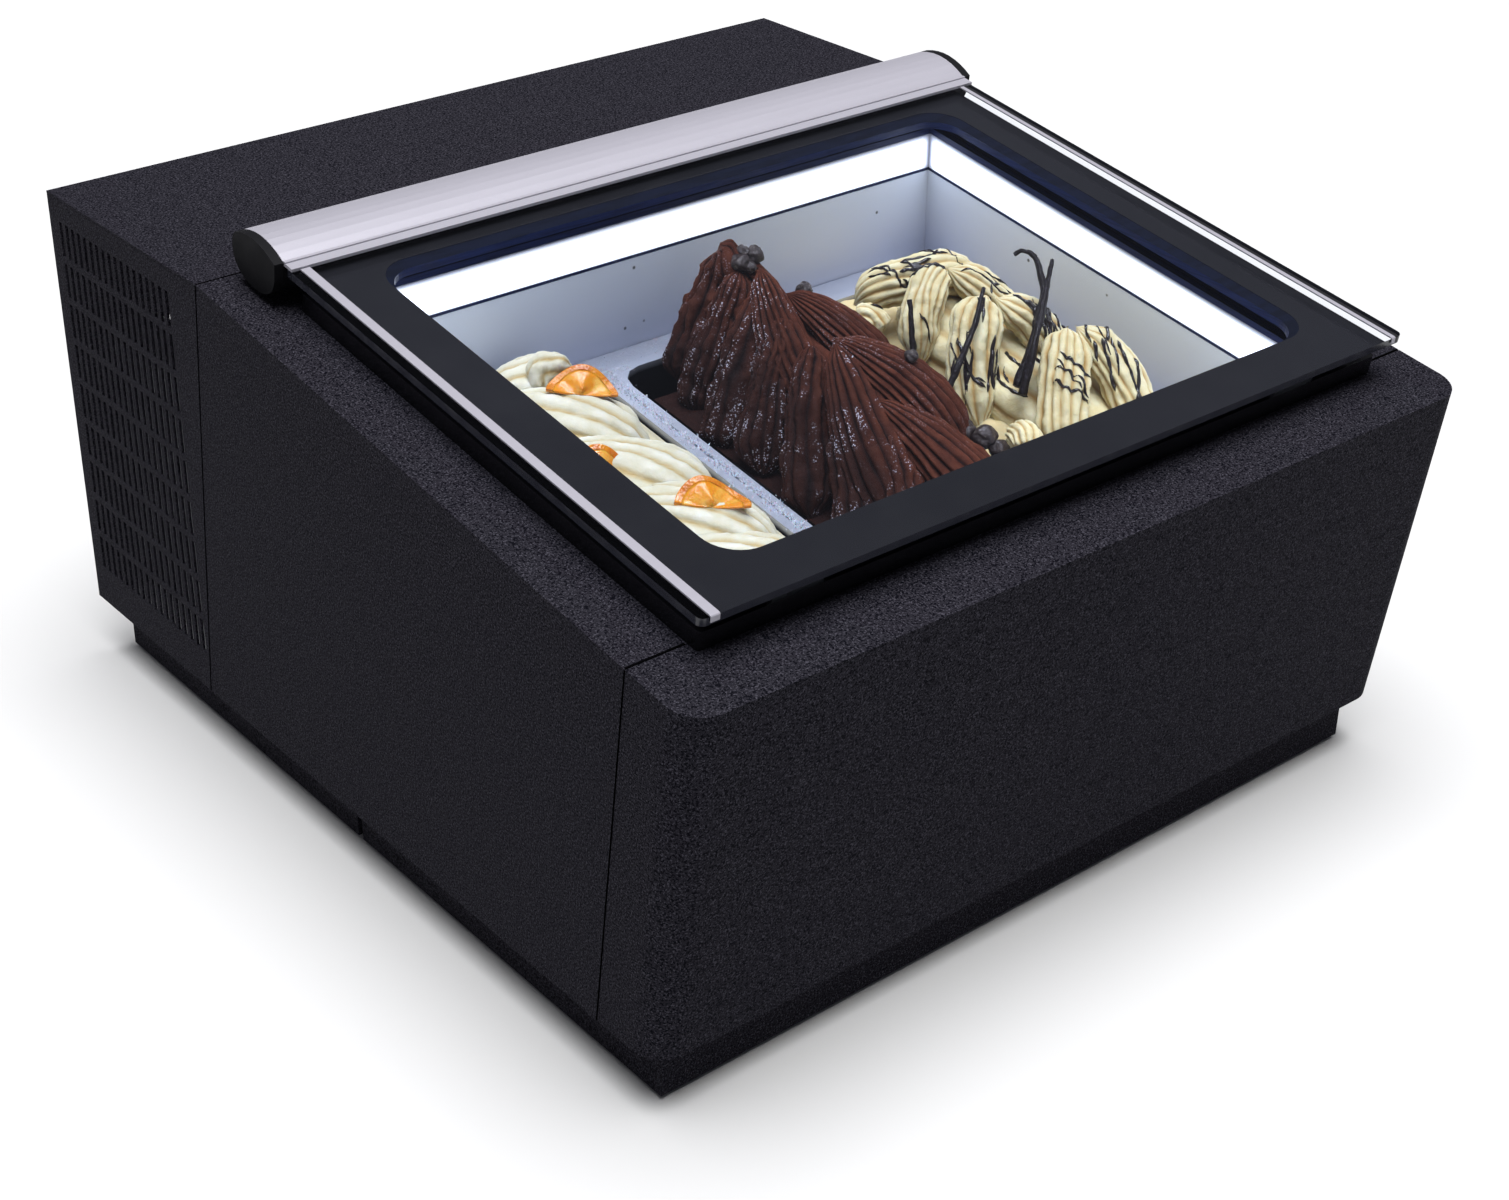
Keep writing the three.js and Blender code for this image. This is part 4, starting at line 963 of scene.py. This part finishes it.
def seam_shadows():
    """Painted shadow: dark strips in the narrow seams between the outer panels."""
    lean = math.tan(math.radians(7))
    wide, proud, bottom, rear_top = 0.75, 0.12, 47.5, 396.0
    front_seam, rear_seam = -324.7, 156.7
    seams = []

    def front(z):
        return front_seam + (DECK_Z / MM - z) * lean

    def rear(z):
        return rear_seam + (rear_top - z) * lean

    def around(start, end):
        return (start, -wide), (start, wide), (end, wide), (end, -wide)

    for side in (-1, 1):
        x = side * (350 + proud)
        for at, top in ((rear, rear_top - 0.5), (front, 321.5)):
            corners = [(at(z) + shift, z) for z, shift in around(bottom, top)]
            seams.append([Vector((x - depth * side, y, z)) * MM for depth in (0, 0.5) for y, z in corners])
    seams.append([Vector((x, rear_seam + shift, rear_top + lift)) * MM
                  for lift in (0.1, -0.4) for x, shift in around(-349.5, 349.5)])
    for x0, x1 in ((-349.5, -306), (306, 349.5)):
        seams.append([deck(x, 60.9 + shift, lift) for lift in (proud, -0.4) for x, shift in around(x0, x1)])
    box_faces = [(0, 1, 2, 3), (7, 6, 5, 4), (0, 4, 5, 1), (1, 5, 6, 2), (2, 6, 7, 3), (3, 7, 4, 0)]
    # painted shadow in the panel seams
    joined("seam_painted_shadow", [(corners, box_faces) for corners in seams], SHADOW, smooth=False)


def strip_tips():
    """The front end of each bright strip is folded down over the edge of the glass."""
    outline = [(43, 35.35), (39.8, 35.3), (39.0, 34.6), (38.8, 30.5), (39.5, 30.5), (39.7, 34.15),
               (43, 34.35)]
    count = len(outline)
    for side, word, material in ((-1, "left", ALUMINIUM), (1, "right", SHADED_STRIP)):
        verts = [deck(side * 305 + x, s, n) for x in (-3.5, 3.5) for s, n in outline]
        faces = [(i, (i + 1) % count, count + (i + 1) % count, count + i) for i in range(count)]
        faces += [tuple(reversed(range(count))), tuple(range(count, 2 * count))]
        soften(make("strip_tip_" + word, verts, faces, material, "lid", smooth=False), 0.25)


glass_border()
glass_edges()
inner_walls("lid_frame")
inner_walls("well_collar")
handle_underside()
seam_shadows()
strip_tips()


# ---------------------------------------------------------------- stage, light and camera
def stage():
    m = Shader("studio_floor", (0.50, 0.50, 0.504), 0.9)
    m.bump(m.noise(30, 3), 0.02, 0.001)
    m.rough(m.noise(5), 0.85, 0.95)
    bpy.ops.mesh.primitive_plane_add(size=30)
    floor = bpy.context.active_object
    floor.name = "studio_floor"
    assign(floor, m.material)


def sun(name, azimuth, elevation, strength, spread):
    """A soft light from infinitely far away. Azimuth 0 is in front and 90 to the right."""
    data = bpy.data.lights.new(name, "SUN")
    data.energy = strength
    data.angle = math.radians(spread)
    obj = bpy.data.objects.new(name, data)
    a, e = math.radians(azimuth), math.radians(elevation)
    source = Vector((math.sin(a) * math.cos(e), -math.cos(a) * math.cos(e), math.sin(e)))
    obj.rotation_mode = "QUATERNION"
    obj.rotation_quaternion = source.to_track_quat("Z", "Y")
    bpy.context.collection.objects.link(obj)


def world():
    made = bpy.data.worlds.new("studio")
    made.use_nodes = True
    background = made.node_tree.nodes["Background"]
    background.inputs["Color"].default_value = (0.86, 0.88, 1.0, 1)
    background.inputs["Strength"].default_value = 0.14
    bpy.context.scene.world = made


def camera():
    """Fitted to the vanishing directions of the cabinet and the corners of its lid."""
    data = bpy.data.cameras.new("camera")
    data.lens = 58.73
    data.sensor_width = 36
    data.shift_x = 0.0398
    data.shift_y = -0.0398
    data.dof.use_dof = False
    obj = bpy.data.objects.new("camera", data)
    a, e, roll = math.radians(-38.8), math.radians(28.9), math.radians(0.2)
    back = Vector((math.sin(a) * math.cos(e), -math.cos(a) * math.cos(e), math.sin(e)))
    obj.location = (-1.0584, -1.2693, 1.0568)
    obj.rotation_mode = "QUATERNION"
    facing = (-back).to_track_quat("-Z", "Y")
    obj.rotation_quaternion = facing @ Matrix.Rotation(roll, 4, "Z").to_quaternion()
    bpy.context.collection.objects.link(obj)
    bpy.context.scene.camera = obj


stage()
world()
sun("key_light", -20, 84, 6.2, 46)
sun("fill_light", -75, 30, 0.1, 50)
camera()
bpy.context.scene.view_settings.view_transform = "Standard"
